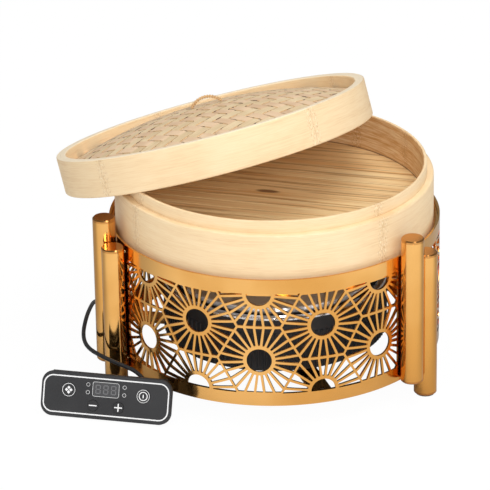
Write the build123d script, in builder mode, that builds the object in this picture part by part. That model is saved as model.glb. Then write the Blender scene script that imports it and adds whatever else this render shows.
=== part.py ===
from build123d import *
import os
from math import cos, degrees, pi, radians, sin, sqrt, tan

# Electric dumpling steamer: a lattice stand on posts, a heater inside it, a bamboo basket with its lid
# leaning on the rim, and a wired controller. Millimetres, +Z up. The origin is on the table, on the
# axis of the stand. Bearings are degrees round the stand from the front (-Y) towards +X.

# Stand
wall_radius = 160.0
wall_sheet = 2.0
wall_base = 20.0
wall_height = 130.0
lower_band = 12.9
upper_band = 14.3
panel_count = 3
panel_joint = 0.6
front_bearing = -7.4
columns_per_panel = 5.5
column_shift = 1.7
side_strip = 6.0
spoke_count = 24
spoke_width = 2.3
bar_width = 2.5
rosette_hole = 11.9
rosette_ring = 15.4

# Posts, one high and one low at each joint between two panels
post_radius = 11.0
post_wall = 1.2
post_length = 149.0
high_post_base = 22.0
post_gap = 0.6
post_half_spread = 3.7
cap_thickness = 3.0
cap_chamfer = 1.2
foot_pad = 1.0
foot_pad_radius = 9.0
insert_gap = 0.1
insert_half_height = 4.0

# Rings inside the wall
ring_gap = 0.2
ring_sheet = 1.5
seat_level = 134.5
seat_width = 18.0
seat_flange = 12.5
base_ring_level = 22.0
base_ring_width = 14.0
base_ring_flange = 10.5

# Screws
screw_radius = 2.0
screw_clearance = 0.2
screw_head_radius = 3.4
screw_head = 1.6
shank_gap = 0.05
head_seat = 0.05
lower_screw_level = 29.0
upper_screw_level = 141.5

# Cradle that carries the heater
cradle_arms = 3
cradle_bearing = 17.0
cradle_arm_width = 20.0
cradle_sheet = 3.0
cradle_hub_radius = 46.0
cradle_hub_hole = 34.0

# Heater
heater_radius = 108.0
heater_base = 31.0
heater_height = 53.5
heater_wall = 2.5
heater_ribs = 120
rib_radius = 1.6
rib_bottom = 1.0
rib_top = 39.0
glass_thickness = 4.0
glass_gap = 0.4
ledge_width = 6.0
ledge_thickness = 3.0
trim_height = 2.5
trim_overhang = 1.0
pad_radius = 9.0
pad_circle = 84.0
cover_gap = 0.3
vent_count = 28
vent_width = 2.4
vent_inner = 14.0
vent_outer = 36.0
cover_screw_circle = 94.0
cover_screw_count = 6
cover_screw_start = 15.0
carrier_start = 45.0
boss_radius = 4.5
coil_radius = 82.0
coil_hole = 18.0
coil_thickness = 5.0
carrier_thickness = 3.0
carrier_circle = 88.0
carrier_post_radius = 3.5
sensor_gap = 0.2
sensor_radius = 7.0
fan_radius = 32.0
fan_depth = 14.0
fan_shell = 2.0
fan_tip_gap = 1.2
fan_top_gap = 0.4
fan_hub_radius = 13.0
fan_root = 11.7
fan_hub_height = 12.4
fan_spokes = 3
fan_spoke_width = 4.0
fan_spider_radius = 10.0
fan_lift = 0.6
fan_blade_chord = 10.5
fan_blades = 9
fan_blade_sheet = 1.2
fan_blade_lean = 28.0
fan_shaft_radius = 2.0
fan_bearing_gap = 0.05
board_thickness = 1.6
board_length = 80.0
board_width = 40.0
board_centre = (0.0, -60.0)
board_level = 44.0
board_post_inset = 4.0
board_post_radius = 3.0
board_blocks = [  # x and y on the power board, then length, width and height
    (-26.0, 6.0, 20.0, 16.0, 12.0),
    (-2.0, 8.0, 15.0, 15.0, 10.0),
    (24.0, 5.0, 22.0, 20.0, 11.0),
    (-22.0, -12.0, 14.0, 9.0, 9.0),
    (8.0, -12.0, 28.0, 8.0, 8.0),
]
inlet_bearing = 180.0
inlet_width = 28.0
inlet_height = 20.0
inlet_depth = 24.0
inlet_proud = 4.0
inlet_wall = 3.0
inlet_gap = 0.2
inlet_pin_radius = 1.6
inlet_pin_pitch = 9.0
gland_bearing = 210.0
gland_level = 50.0
gland_dip = 35.0
gland_length = 9.0
gland_root = 4.8
gland_tip = 3.0
gland_inside = 5.0
gland_gap = 0.1

# Water pan on the heater
pan_radius = 98.0
pan_height = 9.0
pan_sheet = 0.8
pan_lip = 3.0
pan_gap = 0.3

# Bamboo basket
basket_radius = 154.0
neck_radius = 147.5
neck_wall = 3.2
neck_height = 12.0
rim_level = 204.5
hoop_gap = 0.1
floor_depth = 38.0
slat_thickness = 4.0
slat_pitch = 14.4
slat_gap = 1.0
slat_turn = -15.0
floor_ring_width = 6.0
floor_ring_height = 7.0
cross_bar_width = 14.0
cross_bar_spread = 150.0
seat_gap = 0.3
peg_radius = 1.8
peg_count = 8
peg_height = 6.5
peg_gap = 0.05
peg_recess = 0.5
peg_skin = 1.5

# Bamboo lid, leaning on the rim
lid_radius = 155.0
lid_wall = 4.4
lid_height = 36.9
lid_inner_wall = 5.2
lid_rise = 24.0
mat_drop = 12.8
mat_thickness = 2.4
mat_lap = 1.0
lid_lean = 19.9
lid_direction = 134.0
lid_shift = 76.4
lid_gap = 0.3
lid_rib_width = 11.0
lid_rib_spread = 52.0
lid_rib_thickness = 1.8
loop_span = 30.0
loop_rise = 7.6
loop_radius = 1.7
loop_turn = -40.0
loop_seat = 1.05

# Controller: a face plate leaning back on a wedge-shaped case
panel_width = 127.0
panel_height = 43.0
panel_corner = 11.5
panel_thickness = 6.0
panel_chamfer = 0.8
front_wall = 2.0
panel_lean = 22.0
panel_turn = 12.8
panel_foot = (-163.5, -150.4)
pocket_width = 92.0
pocket_height = 31.0
pocket_corner = 3.0
case_width = 112.0
case_edge = 3.25
case_top = 8.0
case_foot = 28.0
case_toe = 4.0
case_wall = 2.0
case_screw_x = 50.0
case_screw_radius = 1.5
case_screw_head = 2.8
case_screw_depth = 10.0
case_screw_bite = 3.5
line_width = 1.3
line_margin_x = 2.0
line_margin_y = 3.5
line_corner = 9.5
line_depth = 0.6
fixed_gap = 0.1
key_travel = 0.5
board_clearance = 0.5
key_gap = 0.3
key_flange = 1.0
key_flange_thickness = 0.6
key_proud = 0.4
round_key_radius = 6.6
small_key_radius = 5.2
menu_place = (-36.5, 4.4)
power_place = (36.4, 4.3)
minus_place = (-12.0, -8.6)
plus_place = (12.8, -8.6)
window_width = 25.2
window_height = 13.2
window_corner = 1.5
window_thickness = 1.2
window_place = (-0.4, 7.2)
module_gap = 0.2
lens_radius = 1.3
lens_columns = 35.6
lens_rows = 7.4
lens_middle = 7.3
lens_length = 3.0
panel_board_length = 88.0
panel_board_width = 28.0
panel_board_sheet = 1.2
panel_board_post = 2.0
panel_board_posts = (48.0, 24.0)
board_screw_radius = 0.9
board_screw_head = 1.8
board_screw_thickness = 1.0

# Control cable, from the controller round the back of the stand to the heater
cable_radius = 2.0
cable_exit_x = 38.0
cable_exit_level = 24.0
cable_exit_direction = (-0.498, 0.755, 0.432)
cable_bush_length = 8.0
cable_bush_inside = 3.5
cable_first_run = 14.0
cable_last_run = 16.0
cable_bend = 0.45
cable_points = [
    (-147.2, -104.0, 37.4),
    (-165.0, -95.0, 41.5),
    (-181.1, -79.0, 43.8),
    (-187.0, -50.0, 43.0),
    (-185.5, -8.0, 42.5),
    (-182.0, 36.0, 36.0),
    (-180.0, 75.0, 22.0),
    (-166.0, 110.0, 9.0),
    (-135.8, 135.8, 2.2),
    (-98.4, 145.9, 4.0),
    (-71.0, 123.0, 10.0),
]

# Worked out from the sizes above
wall_top = wall_base + wall_height
wall_inner = wall_radius - wall_sheet
window_bottom = wall_base + lower_band
window_top = wall_top - upper_band
rosette_rise = (window_top - window_bottom) / 1.5
panel_angle = 360 / panel_count
column_angle = panel_angle / columns_per_panel
column_width = wall_radius * radians(column_angle)
cell_half_top = (column_width**2 - (rosette_rise / 2) ** 2) / (2 * column_width)
cell_corner = column_width - cell_half_top
post_circle = wall_radius + post_gap + post_radius
joint_bearings = [front_bearing + panel_angle * (i + 0.5) for i in range(panel_count)]
high_post_bearings = [b - post_half_spread for b in joint_bearings]
low_post_bearings = [b + post_half_spread for b in joint_bearings]
post_places = [(b, high_post_base, 0.0) for b in high_post_bearings]
post_places += [(b, 0.0, foot_pad) for b in low_post_bearings]
screw_levels = (lower_screw_level, upper_screw_level)
ring_radius = wall_inner - ring_gap
ring_inner = ring_radius - ring_sheet
cradle_level = base_ring_level + ring_sheet
cradle_top = cradle_level + cradle_sheet
cradle_bearings = [cradle_bearing + 360 / cradle_arms * i for i in range(cradle_arms)]
cradle_screw_circle = ring_radius - (base_ring_width + ring_sheet) / 2
heater_top = heater_base + heater_height
cover_radius = heater_radius - heater_wall - cover_gap
cover_top = heater_base + heater_wall
glass_radius = heater_radius - heater_wall - glass_gap
glass_base = heater_top - glass_thickness
ledge_base = glass_base - ledge_thickness
carrier_base = glass_base - coil_thickness - carrier_thickness - sensor_gap
inlet_level = cover_top + inlet_height / 2 + heater_wall
pan_base = heater_top + pan_gap
basket_base = seat_level + seat_gap
step_level = rim_level - neck_height
floor_level = rim_level - floor_depth
floor_ring_top = floor_level - slat_thickness
neck_inner = neck_radius - neck_wall


def polar(radius, bearing, height=0.0):
    t = radians(bearing)
    return (radius * sin(t), -radius * cos(t), height)


def section_plane(bearing):
    # Upright plane through the axis: x runs outwards, y runs up.
    t = radians(bearing)
    return Plane(origin=(0, 0, 0), x_dir=(sin(t), -cos(t), 0), z_dir=(-cos(t), -sin(t), 0))


def facing_plane(radius, bearing, height):
    # Upright plane facing away from the axis: x runs round the stand, y runs up.
    t = radians(bearing)
    return Plane(origin=polar(radius, bearing, height), x_dir=(cos(t), sin(t), 0), z_dir=(sin(t), -cos(t), 0))


def level(height, bearing=0.0, radius=0.0):
    return Plane(origin=polar(radius, bearing, height))


def disc(plane, radius, height, hole=0.0):
    with BuildPart() as piece:
        with BuildSketch(plane):
            Circle(radius)
            if hole:
                Circle(hole, mode=Mode.SUBTRACT)
        extrude(amount=height)
    return piece.part


def export(name, piece):
    piece.part.label = name
    export_step(piece.part, f"parts/{name}.step")


os.makedirs("parts", exist_ok=True)

# Lattice panels: three alike, cut with two alternating columns of sun-ray rosettes
panel_start = front_bearing - panel_angle / 2 + degrees(panel_joint / 2 / wall_radius)
panel_span = panel_angle - degrees(panel_joint / wall_radius)
half_columns = int(columns_per_panel / 2 + 1)

with BuildPart() as wall_panel:
    with BuildSketch(section_plane(panel_start)):
        with Locations((wall_radius - wall_sheet / 2, wall_base + wall_height / 2)):
            Rectangle(wall_sheet, wall_height)
    revolve(axis=Axis.Z, revolution_arc=panel_span)
    for column in range(-half_columns, half_columns + 1):
        bearing = front_bearing + column_shift + column * column_angle
        first = window_top if column % 2 == 0 else window_top - rosette_rise / 2
        for centre in (first, first - rosette_rise):
            with BuildSketch(facing_plane(wall_radius, bearing, centre)):
                with BuildLine():
                    Polyline(
                        (cell_half_top, rosette_rise / 2),
                        (cell_corner, 0),
                        (cell_half_top, -rosette_rise / 2),
                        (-cell_half_top, -rosette_rise / 2),
                        (-cell_corner, 0),
                        (-cell_half_top, rosette_rise / 2),
                        close=True,
                    )
                make_face()
                offset(amount=-bar_width / 2, kind=Kind.INTERSECTION)
                with PolarLocations(0, spoke_count, start_angle=180 / spoke_count):
                    Rectangle(
                        cell_corner,
                        spoke_width,
                        align=(Align.MIN, Align.CENTER),
                        mode=Mode.SUBTRACT,
                    )
                Circle(rosette_ring, mode=Mode.SUBTRACT)
                Circle(rosette_hole)
                with Locations((0, (window_top + window_bottom) / 2 - centre)):
                    Rectangle(4 * column_width, window_top - window_bottom, mode=Mode.INTERSECT)
            extrude(amount=-4 * wall_sheet, mode=Mode.SUBTRACT)
    for start in (panel_start, panel_start + panel_span - side_strip):
        with BuildSketch(section_plane(start)):
            with Locations((wall_radius - wall_sheet / 2, wall_base + wall_height / 2)):
                Rectangle(wall_sheet, wall_height)
        revolve(axis=Axis.Z, revolution_arc=side_strip)
    for side in (-1, 1):
        bearing = front_bearing + side * (panel_angle / 2 - post_half_spread)
        for height in screw_levels:
            with BuildSketch(facing_plane(wall_radius + wall_sheet, bearing, height)):
                Circle(screw_radius + screw_clearance)
            extrude(amount=-3 * wall_sheet, mode=Mode.SUBTRACT)

for index, name in enumerate(("front_panel", "right_panel", "left_panel")):
    with BuildPart() as panel:
        add(wall_panel.part, rotation=(0, 0, index * panel_angle))
    export(name, panel)

# Posts: a high and a low one at each joint, with caps, rubber pads, inserts and screws
post_names = [f"{kind}_post_{place}" for kind in ("high", "low") for place in ("right", "rear", "left")]
for name, (bearing, base, pad) in zip(post_names, post_places):
    with BuildPart() as post:
        with BuildSketch(level(base + pad + cap_thickness, bearing, post_circle)):
            Circle(post_radius)
            Circle(post_radius - post_wall, mode=Mode.SUBTRACT)
        extrude(amount=post_length - pad - 2 * cap_thickness)
        for height in screw_levels:
            with BuildSketch(facing_plane(post_circle, bearing, height)):
                Circle(screw_radius + screw_clearance)
            extrude(amount=-2 * post_radius, mode=Mode.SUBTRACT)
    export(name, post)


def post_cap(bearing, height, end):
    with BuildPart() as cap:
        with BuildSketch(level(height, bearing, post_circle)):
            Circle(post_radius)
        extrude(amount=cap_thickness)
        chamfer(cap.edges().filter_by(GeomType.CIRCLE).sort_by(Axis.Z)[end], length=cap_chamfer)
    return cap.part


lower_caps = [post_cap(b, base + pad, 0) for b, base, pad in post_places]
upper_caps = [post_cap(b, base + post_length - cap_thickness, -1) for b, base, pad in post_places]
with BuildPart() as post_caps:
    add(lower_caps + upper_caps)
export("post_caps", post_caps)

with BuildPart() as foot_pads:
    for bearing in low_post_bearings:
        with BuildSketch(level(0, bearing, post_circle)):
            Circle(foot_pad_radius)
        extrude(amount=foot_pad)
export("foot_pads", foot_pads)

with BuildPart() as post_inserts:
    for bearing, base, pad in post_places:
        for height in screw_levels:
            with BuildSketch(level(height - insert_half_height, bearing, post_circle)):
                Circle(post_radius - post_wall - insert_gap)
            extrude(amount=2 * insert_half_height)
    for bearing, base, pad in post_places:
        for height in screw_levels:
            with BuildSketch(facing_plane(post_circle, bearing, height)):
                Circle(screw_radius)
            extrude(amount=-2 * post_radius, mode=Mode.SUBTRACT)
export("post_inserts", post_inserts)


def angle_ring(bottom, flange_height, shelf_width):
    # A rolled angle: an upright flange against the wall and a flat shelf turned inwards.
    with BuildPart() as ring:
        with BuildSketch(section_plane(0)):
            with Locations((ring_radius, bottom)):
                Rectangle(ring_sheet, flange_height, align=(Align.MAX, Align.MIN))
                Rectangle(shelf_width, ring_sheet, align=(Align.MAX, Align.MIN))
        revolve(axis=Axis.Z)
    return ring.part


seat_blank = angle_ring(seat_level - ring_sheet, seat_flange, seat_width)
with BuildPart() as basket_seat:
    add(seat_blank)
    for bearing, base, pad in post_places:
        with BuildSketch(facing_plane(ring_radius + ring_sheet, bearing, upper_screw_level)):
            Circle(screw_radius + screw_clearance)
        extrude(amount=-4 * ring_sheet, mode=Mode.SUBTRACT)
export("basket_seat", basket_seat)

base_blank = angle_ring(base_ring_level, base_ring_flange, base_ring_width)
with BuildPart() as base_ring:
    add(base_blank)
    for bearing, base, pad in post_places:
        with BuildSketch(facing_plane(ring_radius + ring_sheet, bearing, lower_screw_level)):
            Circle(screw_radius + screw_clearance)
        extrude(amount=-4 * ring_sheet, mode=Mode.SUBTRACT)
    for bearing in cradle_bearings:
        with BuildSketch(level(base_ring_level, bearing, cradle_screw_circle)):
            Circle(screw_radius + screw_clearance)
        extrude(amount=ring_sheet, mode=Mode.SUBTRACT)
export("base_ring", base_ring)

# Cradle: three arms and a hub ring under the heater
arm_reach = sqrt((ring_inner - ring_gap) ** 2 - (cradle_arm_width / 2) ** 2)
with BuildPart() as heater_cradle:
    with BuildSketch(level(cradle_level)):
        Circle(cradle_hub_radius)
        for bearing in cradle_bearings:
            with Locations(Location((0, 0), bearing - 90)):
                Rectangle(arm_reach, cradle_arm_width, align=(Align.MIN, Align.CENTER))
        Circle(cradle_hub_hole, mode=Mode.SUBTRACT)
        for bearing in cradle_bearings:
            with Locations(polar(cradle_screw_circle, bearing)[:2]):
                Circle(screw_radius + screw_clearance, mode=Mode.SUBTRACT)
    extrude(amount=cradle_sheet)
export("heater_cradle", heater_cradle)

head_circle = ring_inner - head_seat
with BuildPart() as stand_screws:
    for bearing, base, pad in post_places:
        for height in screw_levels:
            with BuildSketch(facing_plane(head_circle, bearing, height)):
                Circle(screw_head_radius)
            extrude(amount=-screw_head)
            with BuildSketch(facing_plane(head_circle - screw_head / 2, bearing, height)):
                Circle(screw_radius - shank_gap)
            extrude(amount=post_circle - head_circle + screw_head / 2)
    for bearing in cradle_bearings:
        with BuildSketch(level(cradle_top, bearing, cradle_screw_circle)):
            Circle(screw_head_radius)
        extrude(amount=screw_head)
        with BuildSketch(level(base_ring_level, bearing, cradle_screw_circle)):
            Circle(screw_radius)
        extrude(amount=ring_sheet + cradle_sheet + screw_head / 2)
export("stand_screws", stand_screws)

# Heater housing: a ribbed tube with a ledge for the glass and bosses for the cover screws
boss_height = ledge_base - cover_top
gland_out = Vector(*polar(cos(radians(gland_dip)), gland_bearing, -sin(radians(gland_dip))))
gland_base = Vector(*polar(heater_radius, gland_bearing, gland_level))
gland_end = gland_base + gland_out * gland_length
inlet_hole = (inlet_width + 2 * inlet_gap, inlet_height + 2 * inlet_gap)
cover_screw_places = [polar(cover_screw_circle, 90 + cover_screw_start + 360 / cover_screw_count * i)[:2]
                      for i in range(cover_screw_count)]
with BuildPart() as heater_housing:
    with BuildSketch(level(heater_base)):
        Circle(heater_radius)
        Circle(heater_radius - heater_wall, mode=Mode.SUBTRACT)
    extrude(amount=heater_height)
    with BuildSketch(level(heater_base + rib_bottom)):
        with PolarLocations(heater_radius - rib_radius / 4, heater_ribs):
            Circle(rib_radius)
        Circle(heater_radius - heater_wall / 2, mode=Mode.SUBTRACT)
    extrude(amount=rib_top - rib_bottom)
    with BuildSketch(level(ledge_base)):
        Circle(heater_radius - heater_wall / 2)
        Circle(heater_radius - heater_wall - ledge_width, mode=Mode.SUBTRACT)
    extrude(amount=ledge_thickness)
    with BuildSketch(level(cover_top)):
        with Locations(cover_screw_places):
            Circle(boss_radius)
        with PolarLocations(cover_screw_circle, cover_screw_count, start_angle=cover_screw_start):
            Rectangle(
                heater_radius - cover_screw_circle - heater_wall / 2,
                boss_radius,
                align=(Align.MIN, Align.CENTER),
            )
    extrude(amount=boss_height + ledge_thickness / 2)
    with BuildSketch(level(cover_top)):
        with Locations(cover_screw_places):
            Circle(screw_radius)
    extrude(amount=boss_height / 2, mode=Mode.SUBTRACT)
    with BuildSketch(facing_plane(heater_radius - inlet_depth, inlet_bearing, inlet_level)):
        Rectangle(*inlet_hole)
    extrude(amount=2 * inlet_depth, mode=Mode.SUBTRACT)
    with BuildSketch(Plane(origin=gland_base, z_dir=gland_out)):
        Circle(gland_root + gland_gap)
    extrude(amount=2 * gland_length, both=True, mode=Mode.SUBTRACT)
export("heater_housing", heater_housing)

with BuildPart() as base_cover:
    with BuildSketch(level(heater_base)):
        Circle(cover_radius)
        with PolarLocations((vent_inner + vent_outer) / 2, vent_count):
            SlotOverall(vent_outer - vent_inner, vent_width, mode=Mode.SUBTRACT)
        with Locations(cover_screw_places):
            Circle(screw_radius + screw_clearance, mode=Mode.SUBTRACT)
    extrude(amount=heater_wall)
export("heater_base_cover", base_cover)

with BuildPart() as cover_screws:
    with BuildSketch(level(heater_base)):
        with Locations(cover_screw_places):
            Circle(screw_head_radius)
    extrude(amount=-screw_head)
    with BuildSketch(level(heater_base - screw_head / 2)):
        with Locations(cover_screw_places):
            Circle(screw_radius - shank_gap)
    extrude(amount=screw_head / 2 + heater_wall + boss_height / 3)
export("cover_screws", cover_screws)

with BuildPart() as heater_pads:
    for bearing in cradle_bearings:
        with BuildSketch(level(cradle_top, bearing, pad_circle)):
            Circle(pad_radius)
        extrude(amount=heater_base - cradle_top)
export("heater_pads", heater_pads)

with BuildPart() as heater_glass:
    add(disc(level(glass_base), glass_radius, glass_thickness))
    chamfer(heater_glass.edges().group_by(Axis.Z)[-1], length=glass_gap)
export("heater_glass", heater_glass)

trim_inner = glass_radius - 3 * trim_overhang
with BuildPart() as trim_ring:
    add(disc(level(heater_top), heater_radius + trim_overhang, trim_height, trim_inner))
    fillet(trim_ring.edges().group_by(Axis.Z)[-1], radius=trim_height / 3)
export("trim_ring", trim_ring)

with BuildPart() as coil_carrier:
    add(disc(level(carrier_base), coil_radius + carrier_thickness, carrier_thickness, sensor_radius + 1))
    with BuildSketch(level(carrier_base)):
        with PolarLocations(carrier_circle, cover_screw_count, start_angle=carrier_start):
            Circle(boss_radius)
    extrude(amount=carrier_thickness)
export("coil_carrier", coil_carrier)

with BuildPart() as heating_coil:
    add(disc(level(carrier_base + carrier_thickness), coil_radius, coil_thickness, coil_hole))
export("heating_coil", heating_coil)

with BuildPart() as heater_standoffs:
    with BuildSketch(level(cover_top)):
        with PolarLocations(carrier_circle, cover_screw_count, start_angle=carrier_start):
            Circle(carrier_post_radius)
    extrude(amount=carrier_base - cover_top)
    with BuildSketch(Plane(origin=(*board_centre, cover_top))):
        with GridLocations(board_length - 2 * board_post_inset, board_width - 2 * board_post_inset, 2, 2):
            Circle(board_post_radius)
    extrude(amount=board_level - cover_top)
export("heater_standoffs", heater_standoffs)

with BuildPart() as thermal_sensor:
    add(disc(level(carrier_base), sensor_radius + 1 - fixed_gap, glass_base - carrier_base - sensor_gap))
    fillet(thermal_sensor.edges().group_by(Axis.Z)[-1], radius=sensor_radius / 4)
export("thermal_sensor", thermal_sensor)

# Cooling fan over the vents: a shell with a bearing pin, and a rotor that turns on it
shell_inner = fan_radius + fan_tip_gap
shell_outer = shell_inner + fan_shell
rotor_base = cover_top + fan_shell + fan_lift
with BuildPart() as fan_frame:
    add(disc(level(cover_top), shell_outer, fan_shell + fan_depth, shell_inner))
    with BuildSketch(level(cover_top)):
        Circle(fan_spider_radius)
        with PolarLocations(0, fan_spokes):
            Rectangle(shell_inner + fan_shell / 2, fan_spoke_width, align=(Align.MIN, Align.CENTER))
    extrude(amount=fan_shell)
    with BuildSketch(level(cover_top)):
        Circle(fan_shaft_radius)
    extrude(amount=fan_shell + fan_lift + fan_hub_height)
export("fan_frame", fan_frame)

with BuildPart() as fan_rotor:
    add(disc(level(rotor_base), fan_hub_radius, fan_hub_height + fan_top_gap))
    for i in range(fan_blades):
        turn = i * 360 / fan_blades
        foot = polar(fan_root, turn, rotor_base + (fan_hub_height + fan_top_gap) / 2)
        with BuildSketch(Plane(origin=foot, x_dir=polar(1, turn + 90), z_dir=polar(1, turn))):
            Rectangle(fan_blade_sheet, fan_blade_chord, rotation=fan_blade_lean)
        extrude(amount=fan_radius - fan_root)
    with BuildSketch(level(rotor_base)):
        Circle(fan_shaft_radius + fan_bearing_gap)
    extrude(amount=fan_hub_height + fan_top_gap, mode=Mode.SUBTRACT)
export("fan_rotor", fan_rotor)

with BuildPart() as power_board:
    with BuildSketch(Plane(origin=(*board_centre, board_level))):
        Rectangle(board_length, board_width)
    extrude(amount=board_thickness)
export("power_board", power_board)

with BuildPart() as board_parts:
    for x, y, length, width, height in board_blocks:
        corner = (board_centre[0] + x, board_centre[1] + y, board_level + board_thickness)
        with BuildSketch(Plane(origin=corner)):
            Rectangle(length, width)
        extrude(amount=height)
export("board_parts", board_parts)

# Mains inlet in the rear of the housing
inlet_front = heater_radius + inlet_proud
with BuildPart() as mains_inlet:
    with BuildSketch(facing_plane(inlet_front - inlet_depth, inlet_bearing, inlet_level)):
        Rectangle(inlet_width, inlet_height)
    extrude(amount=inlet_depth)
    with BuildSketch(facing_plane(inlet_front, inlet_bearing, inlet_level)):
        RectangleRounded(inlet_width - 2 * inlet_wall, inlet_height - 2 * inlet_wall, inlet_wall)
    extrude(amount=inlet_wall - inlet_depth, mode=Mode.SUBTRACT)
    with BuildSketch(facing_plane(inlet_front - inlet_depth, inlet_bearing, inlet_level)):
        with GridLocations(inlet_pin_pitch, 0, 2, 1):
            Circle(inlet_pin_radius)
    extrude(amount=inlet_depth - inlet_wall)
export("mains_inlet", mains_inlet)


def tapered_bush(base, direction, inside, outside, root, tip):
    # A round root in the wall and a cone outside it; the cable starts at the small end.
    with BuildPart() as bush:
        with BuildSketch(Plane(origin=base - direction * inside, z_dir=direction)):
            Circle(root)
        extrude(amount=inside)
        with BuildSketch(Plane(origin=base, z_dir=direction)):
            Circle(root)
        with BuildSketch(Plane(origin=base + direction * outside, z_dir=direction)):
            Circle(tip)
        loft()
    return bush


heater_gland = tapered_bush(gland_base, gland_out, gland_inside, gland_length, gland_root, gland_tip)
export("heater_gland", heater_gland)

# Water pan that stands on the heater
with BuildPart() as water_pan:
    with BuildSketch(section_plane(0)):
        with BuildLine():
            Polyline(
                (0, pan_base),
                (pan_radius - pan_lip, pan_base),
                (pan_radius, pan_base + pan_lip),
                (pan_radius, pan_base + pan_height - pan_sheet),
                (pan_radius + pan_lip, pan_base + pan_height - pan_sheet),
                (pan_radius + pan_lip, pan_base + pan_height),
                (pan_radius - pan_sheet, pan_base + pan_height),
                (pan_radius - pan_sheet, pan_base + pan_lip + pan_sheet / 2),
                (pan_radius - pan_lip - pan_sheet / 2, pan_base + pan_sheet),
                (0, pan_base + pan_sheet),
                close=True,
            )
        make_face()
    revolve(axis=Axis.Z)
export("water_pan", water_pan)

# Basket
peg_level = basket_base + peg_height
with BuildPart() as inner_hoop:
    add(disc(level(basket_base), neck_radius, rim_level - basket_base, neck_inner))
    fillet(inner_hoop.edges().group_by(Axis.Z)[-1], radius=neck_wall / 4)
    for i in range(peg_count):
        with BuildSketch(facing_plane(basket_radius, i * 360 / peg_count, peg_level)):
            Circle(peg_radius)
        extrude(amount=2 * (neck_inner - basket_radius), mode=Mode.SUBTRACT)
export("basket_inner_hoop", inner_hoop)

with BuildPart() as outer_hoop:
    add(disc(level(basket_base), basket_radius, step_level - basket_base, neck_radius + hoop_gap))
    rims = outer_hoop.edges().filter_by(GeomType.CIRCLE)
    fillet(rims.filter_by(lambda e: e.radius > neck_radius + 1), radius=neck_wall / 2)
    for i in range(peg_count):
        with BuildSketch(facing_plane(basket_radius - peg_skin, i * 360 / peg_count, peg_level)):
            Circle(peg_radius)
        extrude(amount=2 * (neck_inner - basket_radius), mode=Mode.SUBTRACT)
export("basket_outer_hoop", outer_hoop)

with BuildPart() as basket_pegs:
    for i in range(peg_count):
        with BuildSketch(facing_plane(neck_inner, i * 360 / peg_count, peg_level)):
            Circle(peg_radius - peg_gap)
        extrude(amount=basket_radius - neck_inner - peg_skin - peg_recess)
export("basket_pegs", basket_pegs)

floor_radius = neck_inner - hoop_gap
ring_bottom = floor_ring_top - floor_ring_height
with BuildPart() as floor_ring:
    add(disc(level(ring_bottom), floor_radius, floor_ring_height, floor_radius - floor_ring_width))
export("basket_floor_ring", floor_ring)

slat_count = int(2 * floor_radius / slat_pitch) + 1
slat_way = polar(1, 90 + slat_turn)
with BuildPart() as basket_slats:
    with BuildSketch(Plane(origin=(0, 0, floor_ring_top), x_dir=slat_way)):
        with GridLocations(0, slat_pitch, 1, slat_count):
            Rectangle(2 * floor_radius, slat_pitch - slat_gap)
        Circle(floor_radius, mode=Mode.INTERSECT)
    extrude(amount=slat_thickness)
export("basket_slats", basket_slats)

with BuildPart() as cross_bars:
    with BuildSketch(Plane(origin=(0, 0, ring_bottom), x_dir=slat_way)):
        with GridLocations(cross_bar_spread, 0, 2, 1):
            Rectangle(cross_bar_width, 2 * floor_radius)
        Circle(floor_radius - floor_ring_width - hoop_gap, mode=Mode.INTERSECT)
    extrude(amount=floor_ring_height)
export("basket_cross_bars", cross_bars)

# Lid: its lower edge rests on the rim where the two circles cross, and it leans outwards from there
lean = radians(lid_lean)
hook = lid_radius - lid_wall
square = -((hook * sin(lean)) ** 2)
single = -2 * lid_shift * hook * cos(lean)
fixed = hook**2 + lid_shift**2 - neck_radius**2
crossing = (-single - sqrt(single**2 - 4 * square * fixed)) / (2 * square)
lid_turn = radians(lid_direction)
lid_normal = Vector(sin(lean) * cos(lid_turn), sin(lean) * sin(lid_turn), cos(lean))
lid_foot = Vector(
    lid_shift * cos(lid_turn),
    lid_shift * sin(lid_turn),
    rim_level + lid_gap - hook * crossing * sin(lean),
)
lid_top = lid_foot + lid_normal * lid_height
lid_plane = Plane(origin=lid_top, x_dir=(sin(lid_turn), -cos(lid_turn), 0), z_dir=lid_normal)
lid_axis = Axis(lid_plane.origin, lid_plane.z_dir)
lid_section = Plane(origin=lid_plane.origin, x_dir=lid_plane.x_dir, z_dir=-lid_plane.y_dir)
print("lid centre", tuple(round(v, 2) for v in lid_top))
lid_ring_outer = lid_radius - lid_wall - hoop_gap
lid_ring_inner = lid_ring_outer - lid_inner_wall
support_top = -mat_drop - mat_thickness
support_bottom = neck_height - lid_height
crest = lid_rise - mat_drop
mat_edge = lid_ring_inner - hoop_gap
dome_radius = (mat_edge**2 + lid_rise**2) / (2 * lid_rise)
lid_peg_level = (support_top + support_bottom) / 2


def lid_facing(radius, turn, height):
    # Plane facing away from the lid's axis, at a turn round it.
    outward = lid_plane.x_dir.rotate(lid_axis, turn)
    return Plane(origin=lid_plane.origin + outward * radius + lid_plane.z_dir * height, z_dir=outward)


def dome(radius, drop):
    # Height over the lid's top edge of the mat's upper face, less a drop.
    return crest - drop - dome_radius + sqrt(dome_radius**2 - radius**2)


def dome_section(edge, upper, lower):
    with BuildSketch(lid_section) as profile:
        with BuildLine():
            ThreePointArc((0, dome(0, upper)), (edge / 2, dome(edge / 2, upper)), (edge, dome(edge, upper)))
            Line((edge, dome(edge, upper)), (edge, dome(edge, lower)))
            ThreePointArc((edge, dome(edge, lower)), (edge / 2, dome(edge / 2, lower)), (0, dome(0, lower)))
            Line((0, dome(0, lower)), (0, dome(0, upper)))
        make_face()
    return profile.sketch


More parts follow.
